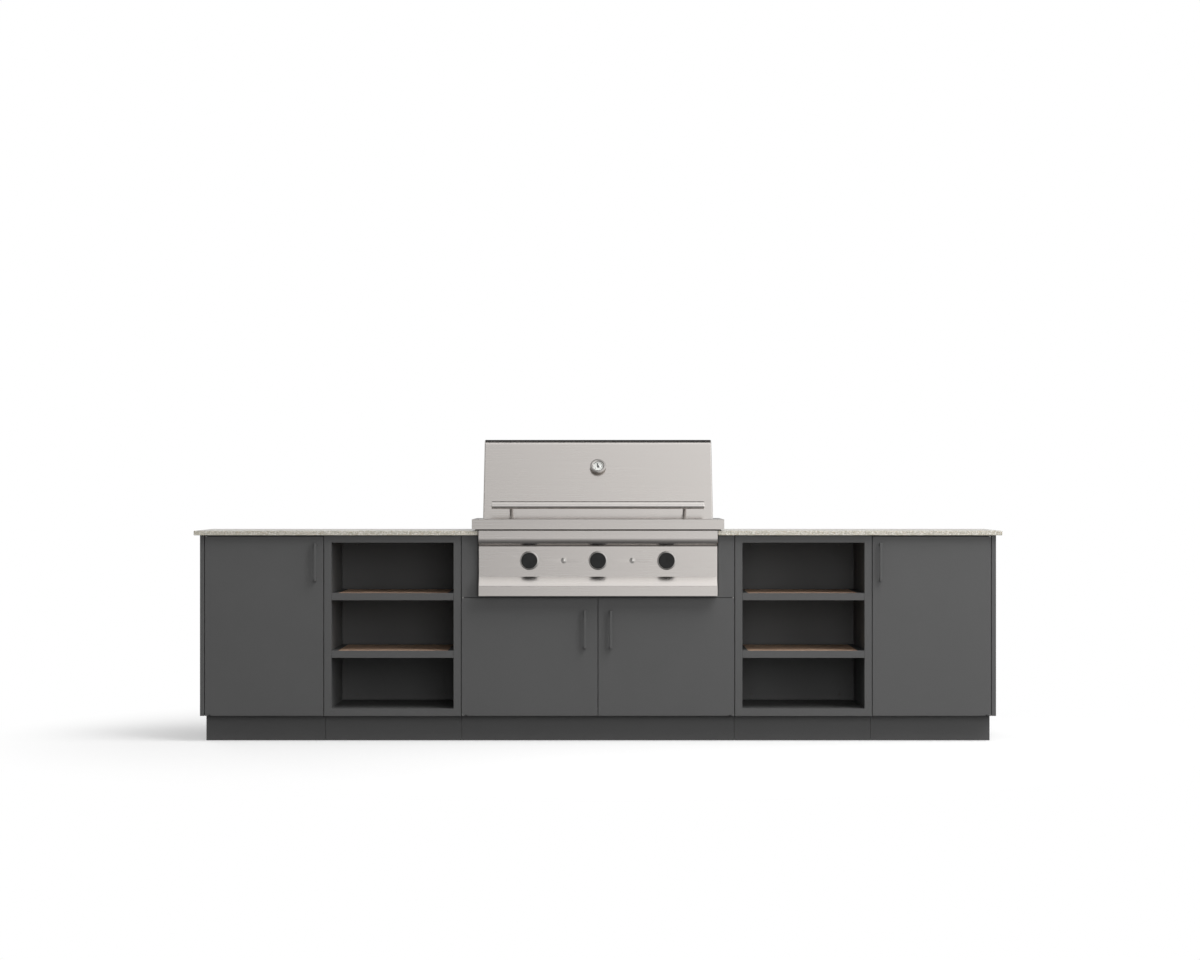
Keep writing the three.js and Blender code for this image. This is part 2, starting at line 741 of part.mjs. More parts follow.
// The frame that carries the grill on the counter, with the hinge ears of the hood
function trimFrame() {
  const half = trimWidth / 2;
  const plateBottom = trimTop - trimSheet;
  const openingHalf = fireboxWidth / 2 - trimOpeningMargin;
  const openingY = [fireboxFront + trimOpeningMargin, fireboxBack - trimOpeningMargin];
  const footHalf = half - trimFootInset;
  const footY = [-trimProud + trimFootInset, trimBack - trimFootRearInset];
  let frame = block([-half, half], [-trimProud, trimBack], [trimBottom, trimTop])
    .subtract(block([-half + trimSheet, half - trimSheet], [-trimProud + trimSheet, trimBack - trimSheet],
      [trimBottom - overrun, plateBottom]));
  const foot = block([-footHalf, footHalf], footY, [counterTop + seatGap, trimTop - trimSheet / 2])
    .subtract(block([-footHalf + trimSheet, footHalf - trimSheet],
      [footY[0] + trimSheet, footY[1] - trimSheet], [counterTop - overrun, trimTop]));
  frame = frame.add(foot);
  frame = frame.subtract(block([-openingHalf, openingHalf], openingY,
    [plateBottom - overrun, trimTop + overrun]));
  frame = frame.subtract(block([-cutoutHalf, cutoutHalf], [-trimProud - overrun, fireboxFront],
    [counterTop - overrun, panelTop + seatGap]));
  for (const side of [-1, 1]) {
    const x = side * (hoodWidth / 2 - hingeEarInset);
    const from = x - hingeEarThickness / 2;
    const to = x + hingeEarThickness / 2;
    const ear = block([from, to], [hingeAxisY - hingeEarRadius, hingeAxisY + hingeEarRadius],
      [plateBottom, hingeAxisZ])
      .add(bar(hingeEarRadius, [from, hingeAxisY, hingeAxisZ], [to, hingeAxisY, hingeAxisZ], tubeSides));
    const bore = bar(hingePinRadius + hingePinPlay, [from - overrun, hingeAxisY, hingeAxisZ],
      [to + overrun, hingeAxisY, hingeAxisZ], hingeSides);
    frame = frame.add(ear).subtract(bore);
  }
  return piece("trim_frame", frame, finishes.stainless);
}

function firebox() {
  const half = fireboxWidth / 2;
  const ledgeTop = grateTop - grateThickness - seatGap;
  let box = block([-half, half], [fireboxFront, fireboxBack], [fireboxBottom, fireboxTop])
    .subtract(block([-half + fireboxSheet, half - fireboxSheet],
      [fireboxFront + fireboxSheet, fireboxBack - fireboxSheet],
      [fireboxBottom + fireboxSheet, fireboxTop + overrun]));
  for (const [wall, inwards] of [[fireboxFront, 1], [fireboxBack, -1]]) {
    box = box.add(block([-half + fireboxSheet / 2, half - fireboxSheet / 2],
      [wall + inwards * fireboxSheet / 2, wall + inwards * ledgeWidth],
      [ledgeTop - fireboxSheet, ledgeTop]));
  }
  const middleY = fireboxFront + fireboxDepth / 2;
  const greaseOpeningHalf = dripTrayWidth / 2 - greaseOpeningInset;
  box = box.subtract(block([-greaseOpeningHalf, greaseOpeningHalf],
    [middleY - greaseOpeningDepth / 2, middleY + greaseOpeningDepth / 2],
    [fireboxBottom - overrun, fireboxBottom + overrun]));
  const railBottom = fireboxBottom - dripTrayDrop - dripTrayHeight - seatGap - railSheet;
  const railInside = dripTrayWidth / 2 + seatGap;
  const railY = [middleY - dripTrayDepth / 2, middleY + dripTrayDepth / 2];
  for (const side of [-1, 1]) {
    box = box.add(block([side * railInside, side * (railInside + railSheet)], railY,
      [railBottom, fireboxBottom + fireboxSheet / 2]));
    box = box.add(block([side * (railInside - railFlange), side * (railInside + railSheet)], railY,
      [railBottom, railBottom + railSheet]));
  }
  for (const side of [-1, 0, 1]) {
    const x = side * knobSpacing;
    box = box.subtract(bar(venturiRadius + venturiPlay, [x, fireboxFront - overrun, controlsHeight],
      [x, fireboxFront + overrun, controlsHeight], tubeSides));
  }
  return piece("firebox", box, finishes.darkSteel);
}

// A box burner with slots in its top and a round mixing tube that reaches out to its valve
function burner(name) {
  const half = burnerWidth / 2;
  const front = fireboxFront + burnerFrontGap;
  const back = fireboxBack - burnerRearGap;
  const bottom = -venturiRadius - burnerBelowAxis / 2;
  const top = bottom + burnerHeight;
  const mouth = fireboxFront - venturiReach;
  const boreRadius = venturiRadius - venturiWall;
  let solid = block([-half, half], [front, back], [bottom, top])
    .add(bar(venturiRadius, [0, mouth, 0], [0, front + burnerSheet / 2, 0], tubeSides))
    .subtract(block([-half + burnerSheet, half - burnerSheet], [front + burnerSheet, back - burnerSheet],
      [bottom + burnerSheet, top - burnerSheet]))
    .subtract(bar(boreRadius, [0, mouth - overrun, 0], [0, front + overrun, 0], tubeSides));
  const pitch = (back - front) / portCount;
  for (let port = 0; port < portCount; port += 1) {
    const y = front + pitch * (port + 1 / 2);
    solid = solid.subtract(block([-portLength / 2, portLength / 2], [y - portWidth / 2, y + portWidth / 2],
      [top - overrun, top + overrun]));
  }
  return piece(name, solid, finishes.darkSteel);
}

// A flat cooking grate with two rows of slots, from its middle line and front edge
function cookingGrate(name, width, depth) {
  const pitch = grateBar + grateSlot;
  const slots = Math.floor((width - grateBar) / pitch);
  const start = -(slots * pitch - grateBar) / 2;
  const slotDepth = (depth - 3 * grateBar) / 2;
  let grate = block([-width / 2, width / 2], [0, depth], [0, grateThickness]);
  for (let row = 0; row < 2; row += 1) {
    const near = grateBar + row * (slotDepth + grateBar);
    for (let i = 0; i < slots; i += 1) {
      const from = start + i * pitch;
      grate = grate.subtract(block([from, from + grateSlot], [near, near + slotDepth],
        [-overrun, grateThickness + overrun]));
    }
  }
  return piece(name, grate, finishes.darkSteel);
}

function fireboxContents() {
  const innerWidth = fireboxWidth - 2 * fireboxSheet;
  const grateWidth = (innerWidth - 4 * gratePlay) / 3;
  const grateDepth = fireboxDepth - 2 * fireboxSheet - 2 * gratePlay;
  const grateFront = fireboxFront + fireboxSheet + gratePlay;
  const parts = [];
  for (const [word, side] of [["left", -1], ["middle", 0], ["right", 1]]) {
    parts.push(groupAt(side * knobSpacing, 0, controlsHeight, burner(`${word}_burner`)));
    parts.push(groupAt(side * (grateWidth + gratePlay), grateFront, grateTop - grateThickness,
      cookingGrate(`${word}_grate`, grateWidth, grateDepth)));
  }
  return parts;
}

function dripTray() {
  const middleY = fireboxFront + fireboxDepth / 2;
  const half = dripTrayWidth / 2;
  const front = middleY - dripTrayDepth / 2;
  const back = middleY + dripTrayDepth / 2;
  const top = fireboxBottom - dripTrayDrop;
  const bottom = top - dripTrayHeight;
  const tray = block([-half, half], [front, back], [bottom, top])
    .subtract(block([-half + sheet, half - sheet], [front + sheet, back - sheet],
      [bottom + sheet, top + overrun]));
  return piece("drip_tray", tray, finishes.stainless);
}

// The pipe that feeds the three valves, with its hexagonal inlet at the right end
function gasManifold() {
  const pipeZ = controlsHeight - manifoldDrop;
  const half = panelWidth / 2 - manifoldSideInset;
  let solid = bar(manifoldRadius, [-half, manifoldSetback, pipeZ], [half, manifoldSetback, pipeZ],
    tubeSides);
  for (const side of [-1, 1]) {
    solid = solid.add(bar(hexRadius, [side * (half - hexLength), manifoldSetback, pipeZ],
      [side * half, manifoldSetback, pipeZ], hexSides));
    const x = side * (knobSpacing - bracketSetIn);
    solid = solid.add(block([x - bracketWidth / 2, x + bracketWidth / 2],
      [manifoldSetback, fireboxFront - seatGap], [pipeZ - bracketHeight / 2, pipeZ + bracketHeight / 2]));
  }
  const inlet = bar(manifoldRadius / 2, [half - 2 * hexLength, manifoldSetback, pipeZ],
    [half + overrun, manifoldSetback, pipeZ], tubeSides);
  solid = solid.subtract(inlet);
  const valveBack = valveFront + valveDepth;
  for (const side of [-1, 0, 1]) {
    const x = side * knobSpacing;
    const valve = block([x - valveWidth / 2, x + valveWidth / 2], [valveFront, valveBack],
      [pipeZ, controlsHeight + valveAbove])
      .add(bar(nozzleRadius, [x, valveBack - overrun, controlsHeight],
        [x, valveBack + nozzleReach, controlsHeight], tubeSides))
      .subtract(bar(stemRadius + stemPlay, [x, valveFront - overrun, controlsHeight],
        [x, stemEnd + stemTravel + travelMargin, controlsHeight], stemSides));
    solid = solid.add(valve);
  }
  return piece("gas_manifold", solid, finishes.brass);
}

// Side outline of the hood as (y, z) points, counter-clockwise from its lower front edge
function hoodOutline() {
  const topZ = hoodBottom + hoodRise;
  const frontTop = hoodSetback + hoodLean;
  const bend = [];
  const turn = Math.PI / 2 - hoodAngle;
  const tangent = hoodBendRadius * Math.tan(turn / 2);
  const centreY = frontTop + tangent;
  const centreZ = topZ - hoodBendRadius;
  for (let step = 0; step <= hoodBendSteps; step += 1) {
    const angle = Math.PI / 2 + turn * (1 - step / hoodBendSteps);
    bend.push([centreY + hoodBendRadius * Math.cos(angle), centreZ + hoodBendRadius * Math.sin(angle)]);
  }
  const outline = [
    [hoodSetback, hoodBottom],
    ...bend,
    [hoodTopRear, topZ],
    [hoodRear, hoodBottom + hoodRearRise],
    [hoodRear, hoodBottom],
  ];
  return outline.reverse();
}

function hood() {
  const outline = hoodOutline();
  const half = hoodWidth / 2;
  const walls = outline.map(() => hoodSheet);
  walls[outline.length - 1] = -overrun;
  let shell = prismAlongX(outline, -half, half)
    .subtract(prismAlongX(insetOutline(outline, walls), -half + hoodSheet, half - hoodSheet));
  for (const side of [-1, 1]) {
    const outside = side * half;
    const inside = side * (half - hoodSheet);
    const tab = block([outside, inside], [hoodRear - hoodSheet, hingeAxisY],
      [hingeAxisZ - hingeTabRadius, hingeAxisZ + hingeTabRadius])
      .add(bar(hingeTabRadius, [outside, hingeAxisY, hingeAxisZ], [inside, hingeAxisY, hingeAxisZ],
        tubeSides));
    const pin = bar(hingePinRadius, [outside, hingeAxisY, hingeAxisZ],
      [side * (half - hingePinLength), hingeAxisY, hingeAxisZ], hingeSides);
    shell = shell.add(tab).add(pin);
  }
  const probeHole = bar(probeRadius + probePlay, [0, -overrun, gaugeHeight], [0, overrun, gaugeHeight],
    stemSides)
    .rotate([-THREE.MathUtils.radToDeg(hoodAngle), 0, 0])
    .translate([0, hoodSetback, hoodBottom]);
  return piece("hood", shell.subtract(probeHole), finishes.stainless);
}

function hoodHandle() {
  const half = hoodWidth / 2 - hoodHandleSideInset;
  const y = -hoodHandleStandoff;
  let handle = bar(hoodHandleRadius, [-half, y, hoodHandleHeight], [half, y, hoodHandleHeight],
    hoodHandleSides);
  for (const side of [-1, 1]) {
    const x = side * (half - hoodHandlePostInset);
    handle = handle.add(bar(hoodHandlePostRadius, [x, y, hoodHandleHeight], [x, -seatGap, hoodHandleHeight],
      tubeSides));
  }
  const inner = half - hoodHandleWall;
  handle = handle.subtract(bar(hoodHandleRadius - hoodHandleWall, [-inner, y, hoodHandleHeight],
    [inner, y, hoodHandleHeight], hoodHandleSides));
  handle = handle.subtract(bar(drainRadius, [0, y, hoodHandleHeight],
    [0, y, hoodHandleHeight - hoodHandleRadius - overrun], drainSides));
  return piece("hood_handle", handle, finishes.stainless);
}

// The thermometer: a neck on the hood, a rim around a sunken dial, and a probe through the hood
function thermometer() {
  const front = -seatGap - gaugeDepth;
  const dial = front + gaugeDialDepth;
  const body = turnedAboutY([
    [0, dial - needleLift - needleThickness],
    [needlePostRadius, dial - needleLift - needleThickness],
    [needlePostRadius, dial],
    [gaugeRadius - gaugeRim, dial],
    [gaugeRadius - gaugeRim, front],
    [gaugeRadius - gaugeRim / 3, front],
    [gaugeRadius, front + gaugeRim / 3],
    [gaugeRadius, -seatGap - gaugeNeckDepth],
    [gaugeNeckRadius, -seatGap],
    [probeRadius, -seatGap],
    [probeRadius, probeLength],
    [0, probeLength],
  ], gaugeSides);
  const nearY = dial - needleLift;
  const farY = nearY - needleThickness;
  const hubSolid = bar(needleHubRadius, [0, farY, 0], [0, nearY, 0], needleSides);
  const blade = block([-needleWidth / 2, needleWidth / 2], [farY, nearY], [-needleTail, needleLength]);
  const bore = bar(needlePostRadius + needlePlay, [0, farY - overrun, 0], [0, nearY + overrun, 0],
    needleSides);
  const needleSolid = hubSolid.add(blade).subtract(bore);
  const needle = piece("thermometer_needle", needleSolid, finishes.needleBlack);
  needle.rotation.y = -needleRestAngle;
  return groupAt(0, 0, gaugeHeight, piece("thermometer_body", body, finishes.stainless), needle);
}

// What stands on the sloping front of the hood, in a group that leans back with it
function onHoodFace() {
  const face = groupAt(0, hoodSetback, hoodBottom, hoodHandle(), thermometer());
  face.rotation.x = -hoodAngle;
  return face;
}

const frontmost = -panelProud;
const rearmost = cabinetDepth + counterRearOverhang;
const island = groupAt(0, -(frontmost + rearmost) / 2, 0,
  ...doorCabinet("left", -1),
  ...openCabinet("left", -1),
  ...grillCabinet(),
  ...openCabinet("right", 1),
  ...doorCabinet("right", 1),
  ...counter(),
  firebox(),
  trimFrame(),
  controlPanel(),
  ...controls(),
  ...fireboxContents(),
  dripTray(),
  gasManifold(),
  hood(),
  onHoodFace());

export default island;
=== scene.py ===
"""Outdoor kitchen island: powder-coated cabinets, a granite counter and a stainless gas grill.

Metres, +X to the right, -Y to the front where the doors and knobs are, +Z up.
"""

import math

import bmesh
import bpy
from mathutils import Matrix, Vector


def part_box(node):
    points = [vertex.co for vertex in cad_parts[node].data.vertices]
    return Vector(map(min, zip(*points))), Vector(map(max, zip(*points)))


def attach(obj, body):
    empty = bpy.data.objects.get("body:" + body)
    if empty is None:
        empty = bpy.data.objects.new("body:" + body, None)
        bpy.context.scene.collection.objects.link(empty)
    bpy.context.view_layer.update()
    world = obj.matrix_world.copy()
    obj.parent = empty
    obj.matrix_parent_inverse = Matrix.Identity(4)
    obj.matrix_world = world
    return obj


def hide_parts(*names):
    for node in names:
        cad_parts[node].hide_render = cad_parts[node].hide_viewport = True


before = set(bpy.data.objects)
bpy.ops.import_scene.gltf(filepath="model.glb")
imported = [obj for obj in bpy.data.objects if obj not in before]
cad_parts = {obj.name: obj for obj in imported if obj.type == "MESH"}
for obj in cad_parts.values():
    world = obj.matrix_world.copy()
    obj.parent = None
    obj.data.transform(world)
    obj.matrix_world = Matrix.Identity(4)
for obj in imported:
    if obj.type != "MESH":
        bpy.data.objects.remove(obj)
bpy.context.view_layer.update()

# The photograph's view: a level eye in front of the middle of the island
PHOTO_WIDTH = 1200
PHOTO_HEIGHT = 960
METRES_PER_PIXEL = 0.00445
EYE_DISTANCE = 13.725
EYE_HEIGHT = 1.129
MIDDLE_COLUMN = 598
HORIZON_ROW = 487.9
SENSOR = 36.0

# Values that several pieces share
MERGE = 1e-6
TOUCH = 0.0003
CREASE = 0.0005
SHEET = 0.0015
SMOOTH_ANGLE = math.radians(30)
FRONT = Vector((0, -1, 0))

DOORS = ("left_door", "right_door", "grill_left_door", "grill_right_door")
KNOB_PLACES = ("left", "middle", "right")
IGNITER_PLACES = ("left", "right")

# Control panel
PANEL_BAND = 0.028
PANEL_COVE = 0.041
PANEL_RECESS = 0.035
PANEL_FLAT = 0.135
PANEL_SLOPE = 0.041
COVE_STEPS = 18
PANEL_FOLD = 0.002
STEM_HOLE = 0.0065
IGNITER_HOLE = 0.0088

# Underside of the grill's trim; below it the skirt is rougher and painted dark as the shade in the
# slot above the control panel
TRIM_UNDERSIDE = 0.9452

# Hood
HOOD_RISE = 0.354
HOOD_LEAN = 0.212
HOOD_BEND = 0.045
HOOD_BEND_STEPS = 12
HOOD_TOP_REAR = 0.1585
HOOD_REAR = 0.2635
HOOD_REAR_RISE = 0.190
HOOD_SIDE_EDGE = 0.005
HOOD_DROP = 0.0017
HINGE_AXIS = Vector((0, 0.2785, 1.0103))
HINGE_TAB = 0.012
HINGE_TAB_OVERLAP = 0.004
HINGE_PIN = 0.005
HINGE_PIN_LENGTH = 0.046
HINGE_PIN_CHAMFER = 0.001
GAUGE_HEIGHT = 0.266
GAUGE_DEPTH = 0.018
GAUGE_RADIUS = 0.035
DIAL_RADIUS = 0.0232
DIAL_DEPTH = 0.008
DIAL_THICKNESS = 0.001
DIAL_SWEEP = math.radians(270)
PRINT = 0.00005
NEEDLE_LEAN = math.radians(15)


def linear(level):
    """A colour level from 0 to 255 as light."""
    share = level / 255
    return share / 12.92 if share <= 0.04045 else ((share + 0.055) / 1.055) ** 2.4


def paint(red, green, blue):
    return (linear(red), linear(green), linear(blue), 1.0)


def grey(light):
    return (light, light, light, 1.0)


class Value:
    """A number or colour socket of a shader. Arithmetic on a number adds Math nodes."""

    def __init__(self, shader, socket):
        self.shader = shader
        self.socket = socket

    def maths(self, operation, *operands):
        sockets = dict(enumerate(operands or [self]))
        return self.shader.node("Math", {"operation": operation}, sockets)

    def __add__(self, other):
        return self.maths("ADD", self, other)

    __radd__ = __add__

    def __sub__(self, other):
        return self.maths("SUBTRACT", self, other)

    def __rsub__(self, other):
        return self.maths("SUBTRACT", other, self)

    def __mul__(self, other):
        return self.maths("MULTIPLY", self, other)

    __rmul__ = __mul__

    def __abs__(self):
        return self.maths("ABSOLUTE", self)

    def larger(self, other):
        return self.maths("MAXIMUM", self, other)

    def smooth(self, low, high):
        """0 below low, 1 above high and a soft step between them."""
        return self.shader.node("MapRange", {"interpolation_type": "SMOOTHSTEP"},
                                {"Value": self, "From Min": low, "From Max": high})


class Shader:
    """The nodes of a material or of the world. A socket's value is a constant or a Value."""

    def __init__(self, owner):
        owner.use_nodes = True
        self.owner = owner
        self.nodes = owner.node_tree.nodes
        self.links = owner.node_tree.links
        self.nodes.clear()

    def node(self, kind, settings=None, sockets=None, out=0):
        made = self.nodes.new("ShaderNode" + kind)
        for name, value in (settings or {}).items():
            if name == "stops":
                self.set_stops(made.color_ramp.elements, value)
            else:
                setattr(made, name, value)
        for name, value in (sockets or {}).items():
            if isinstance(value, Value):
                self.links.new(value.socket, made.inputs[name])
            else:
                made.inputs[name].default_value = value
        return Value(self, made.outputs[out]) if made.outputs else None

    @staticmethod
    def set_stops(elements, stops):
        while len(elements) < len(stops):
            elements.new(1.0)
        for element, (place, colour) in zip(elements, stops):
            element.position = place
            element.color = colour

    def blend(self, factor, first, second):
        """Goes from the first colour to the second as the factor goes from 0 to 1."""
        return self.node("Mix", {"data_type": "RGBA"}, {0: factor, 6: first, 7: second}, 2)

    def blend_vectors(self, factor, first, second):
        return self.node("Mix", {"data_type": "VECTOR"}, {0: factor, 4: first, 5: second}, 1)

    def ramp(self, factor, *stops):
        return self.node("ValToRGB", {"stops": stops}, {0: factor})

    def parts(self, vector):
        return [self.node("SeparateXYZ", None, {0: vector}, out) for out in range(3)]

    def stretched(self, vector, scales):
        """Places that run faster along the axes with the larger scales."""
        return self.node("VectorMath", {"operation": "MULTIPLY"}, {0: vector, 1: scales})

    def noise(self, vector, scale, detail):
        return self.node("TexNoise", None, {"Vector": vector, "Scale": scale, "Detail": detail})

    def grains(self, vector, scale):
        """Small cells, each with a random colour of its own."""
        return self.node("TexVoronoi", None, {"Vector": vector, "Scale": scale}, "Color")


class Finish(Shader):
    """A material with one principled surface, on Object coordinates."""

    def __init__(self, name):
        material = bpy.data.materials.new(name)
        super().__init__(material)
        self.place = self.node("TexCoord", None, None, "Object")
        self.facing = self.node("TexCoord", None, None, "Normal")

    def bump(self, height, depth, strength):
        return self.node("Bump", None, {"Height": height, "Distance": depth, "Strength": strength})

    def surface(self, **sockets):
        named = {name.replace("_", " "): value for name, value in sockets.items()}
        shown = self.node("BsdfPrincipled", None, named)
        self.node("OutputMaterial", None, {"Surface": shown})
        return self.owner


def powder_coat(name, level):
    """Baked powder: an even grey with a fine orange peel and a faint cloud."""
    finish = Finish(name)
    cloud = finish.noise(finish.place, 5, 3)
    speck = finish.noise(finish.place, 900, 1)
    peel = finish.noise(finish.place, 420, 2)
    tone = cloud * 0.3 + speck * 0.7
    dark = paint(level - 2, level - 2, level - 2)
    pale = paint(level + 2, level + 2, level + 2)
    return finish.surface(
        Base_Color=finish.blend(tone.smooth(0.3, 0.7), dark, pale),
        Roughness=0.46 + cloud * 0.06 + peel * 0.06,
        Specular_IOR_Level=0.2,
        Normal=finish.bump(peel, 0.00012, 0.35))


def brushed_steel(name, tone=(214, 209, 205), rough=0.27, painted_shade_below=None):
    """Stainless sheet with fine brush lines along X, and along Y on the side faces. What lies
    below the given height is rougher and painted dark, as painted shade for a shadowed slot."""
    # Painted shade: the colour of the skirt inside the slot under the trim
    painted_slot_shade = paint(96, 91, 87)
    boundary = 0.0004
    finish = Finish(name)
    sideways = abs(finish.parts(finish.facing)[0]).smooth(0.6, 0.8)
    along_x = finish.stretched(finish.place, (4, 1, 1))
    along_y = finish.stretched(finish.place, (1300, 4 / 1300, 1))
    lines = finish.stretched(finish.blend_vectors(sideways, along_x, along_y), (1, 1300, 1300))
    fine = finish.noise(lines, 1, 2)
    broad = finish.noise(finish.stretched(lines, (0.1, 0.25, 0.25)), 1, 2)
    cloud = finish.noise(finish.place, 3, 2)
    streak = fine * 0.7 + broad * 0.3
    red, green, blue = tone
    dark = paint(red - 3, green - 3, blue - 3)
    pale = paint(red + 2, green + 2, blue + 2)
    colour = finish.blend(streak.smooth(0.25, 0.75), dark, pale)
    roughness = rough - 0.02 + streak * 0.02 + cloud * 0.02
    # Below the given height the colour is painted shade and the sheet is rougher
    if painted_shade_below:
        height = finish.parts(finish.place)[2]
        bright = height.smooth(painted_shade_below - boundary, painted_shade_below)
        colour = finish.blend(bright, painted_slot_shade, colour)
        roughness = roughness + (1 - bright) * 0.25
    return finish.surface(
        Base_Color=colour,
        Metallic=1.0,
        Roughness=roughness,
        Normal=finish.bump(fine, 0.00002, 0.04))


def turned_steel(name, rough=0.16, level=209):
    """Steel of turned pieces, polished or darkened, with faint rings and clouds of polish."""
    finish = Finish(name)
    cloud = finish.noise(finish.place, 60, 3)
    fine = finish.noise(finish.place, 1500, 1)
    dark = paint(level - 6, level - 10, level - 14)
    pale = paint(level + 7, level + 4, level + 1)
    return finish.surface(
        Base_Color=finish.blend(cloud, dark, pale),
        Metallic=1.0,
        Roughness=rough + cloud * 0.08 + fine * 0.04,
        Normal=finish.bump(fine, 0.00003, 0.2))


def heated_steel(name):
    """Formed steel over the flames: dull grey with straw and blue heat tints."""
    finish = Finish(name)
    cloud = finish.noise(finish.place, 9, 4)
    mill = finish.noise(finish.stretched(finish.place, (8, 300, 300)), 1, 2)
    tint = finish.ramp(cloud, (0.3, paint(128, 124, 120)), (0.48, paint(146, 134, 116)),
                       (0.6, paint(120, 118, 122)), (0.75, paint(104, 103, 104)))
    return finish.surface(
        Base_Color=tint,
        Metallic=0.85,
        Roughness=0.38 + mill * 0.16,
        Normal=finish.bump(mill, 0.00006, 0.3))


def granite(name):
    """Polished granite: cream and grey-green crystals, pale quartz and dark flecks."""
    finish = Finish(name)
    warp = finish.noise(finish.place, 55, 2)
    large = finish.parts(finish.grains(finish.place, 240))
    small = finish.parts(finish.grains(finish.place, 520))
    tiny = finish.parts(finish.grains(finish.place, 1300))
    crystal = finish.ramp(
        large[0] * 0.85 + warp * 0.15,
        (0.12, paint(166, 163, 148)), (0.34, paint(188, 184, 171)),
        (0.52, paint(202, 198, 188)), (0.7, paint(178, 175, 162)), (0.88, paint(212, 209, 201)))
    chips = finish.blend(small[1].smooth(0.78, 0.84), crystal, paint(152, 150, 136))
    quartz = finish.blend(small[2].smooth(0.84, 0.88), chips, paint(236, 233, 227))
    flecks = finish.blend(tiny[0].smooth(0.86, 0.9), quartz, paint(96, 91, 83))
    rust = finish.blend(small[0].smooth(0.93, 0.95), flecks, paint(168, 142, 108))
    return finish.surface(
        Base_Color=rust,
        Roughness=0.14 + small[1] * 0.08,
        Normal=finish.bump(tiny[1], 0.00003, 0.25))


def oiled_wood(name):
    """Oiled hardwood with long grain along X, pores and darker growth lines."""
    finish = Finish(name)
    wander = finish.noise(finish.stretched(finish.place, (1.2, 6, 6)), 1, 3)
    rings = finish.noise(finish.stretched(finish.place, (0.9, 42, 42)), 1, 4)
    pores = finish.noise(finish.stretched(finish.place, (14, 1300, 1300)), 1, 2)
    board = finish.ramp(
        rings * 0.7 + wander * 0.3,
        (0.32, paint(166, 134, 112)), (0.46, paint(198, 165, 140)),
        (0.58, paint(211, 179, 154)), (0.7, paint(182, 148, 124)))
    grain = finish.blend(pores.smooth(0.56, 0.72) * 0.5, board, paint(132, 102, 82))
    return finish.surface(
        Base_Color=grain,
        Roughness=0.46 + pores * 0.16,
        Normal=finish.bump(pores, 0.0001, 0.4))


def moulded_black(name, level):
    """Black moulded plastic with a fine spark-eroded grain."""
    finish = Finish(name)
    grain = finish.noise(finish.place, 700, 3)
    cloud = finish.noise(finish.place, 30, 2)
    dark = paint(level - 7, level - 7, level - 7)
    pale = paint(level + 7, level + 7, level + 7)
    return finish.surface(
        Base_Color=finish.blend((grain * 0.6 + cloud * 0.4).smooth(0.3, 0.7), dark, pale),
        Roughness=0.5 + grain * 0.18,
        Specular_IOR_Level=0.3,
        Normal=finish.bump(grain, 0.0002, 0.5))


def machined_brass(name):
    finish = Finish(name)
    cloud = finish.noise(finish.place, 22, 3)
    lines = finish.noise(finish.stretched(finish.place, (4, 700, 700)), 1, 2)
    return finish.surface(
        Base_Color=finish.blend(cloud, paint(150, 116, 60), paint(196, 160, 92)),
        Metallic=1.0,
        Roughness=0.26 + lines * 0.16,
        Normal=finish.bump(lines, 0.00004, 0.3))


def enamel(name, red, green, blue):
    """A thin printed or enamelled layer with the faintest unevenness."""
    finish = Finish(name)
    cloud = finish.noise(finish.place, 120, 3)
    dark = paint(red - 5, green - 5, blue - 5)
    return finish.surface(
        Base_Color=finish.blend(cloud, dark, paint(red, green, blue)),
        Roughness=0.32 + cloud * 0.1,
        Normal=finish.bump(cloud, 0.00003, 0.2))


def clear_glass(name):
    finish = Finish(name)
    film = finish.noise(finish.place, 90, 3)
    clear = finish.node("BsdfTransparent", None, {"Color": (0.98, 0.98, 0.98, 1)})
    gloss = finish.node("BsdfPrincipled", None, {
        "Base Color": finish.blend(film, grey(0.9), grey(1)),
        "Roughness": 0.02 + film * 0.03, "Metallic": 0.0})
    rim = finish.node("Fresnel", None, {"IOR": 1.45})
    shown = finish.node("MixShader", None, {0: rim, 1: clear, 2: gloss})
    finish.node("OutputMaterial", None, {"Surface": shown})
    return finish.owner


COAT = powder_coat("grey_powder_coat", 84)
DARK_COAT = powder_coat("dark_grey_powder_coat", 82)
BRUSHED = brushed_steel("brushed_stainless")
POLISHED = turned_steel("polished_stainless")
# Satin steel for the bezels, the handle's posts and the thermometer's case: its satin roughness is
# real, and its tone, darker than the polished steel's, is painted shade
SATIN_SHADED_STEEL = turned_steel("satin_turned_stainless", 0.26, 180)
# The trim's skirt below its underside is painted dark as the shade of the slot
TRIM = brushed_steel("brushed_trim_stainless", painted_shade_below=TRIM_UNDERSIDE)
TUBE = brushed_steel("fine_brushed_tube", (238, 233, 229), 0.2)
DARK_STEEL = turned_steel("darkened_steel", 0.3, 104)
HEATED = heated_steel("heat_tinted_steel")
GRANITE = granite("speckled_granite")
WOOD = oiled_wood("oiled_hardwood")
BLACK = moulded_black("black_knob_plastic", 30)
BRASS = machined_brass("machined_brass")
DIAL = enamel("white_dial_enamel", 234, 235, 231)
INK = enamel("black_dial_print", 24, 24, 26)
GLASS = clear_glass("dial_glass")


def block(shape, low, high):
    """Adds a box between two corners and gives its corner points."""
    low, high = Vector(low), Vector(high)
    made = bmesh.ops.create_cube(shape, size=1)["verts"]
    bmesh.ops.scale(shape, vec=high - low, verts=made)
    bmesh.ops.translate(shape, vec=(low + high) / 2, verts=made)
    return made


def round_edges(shape, edges, radius, steps=3):
    bmesh.ops.bevel(shape, geom=list(edges), offset=radius, offset_type="OFFSET", affect="EDGES",
                    segments=steps, profile=0.5, material=-1, clamp_overlap=True)


def sharp_edges(shape, degrees):
    limit = math.radians(degrees)
    return [edge for edge in shape.edges
            if len(edge.link_faces) == 2 and edge.calc_face_angle() > limit]


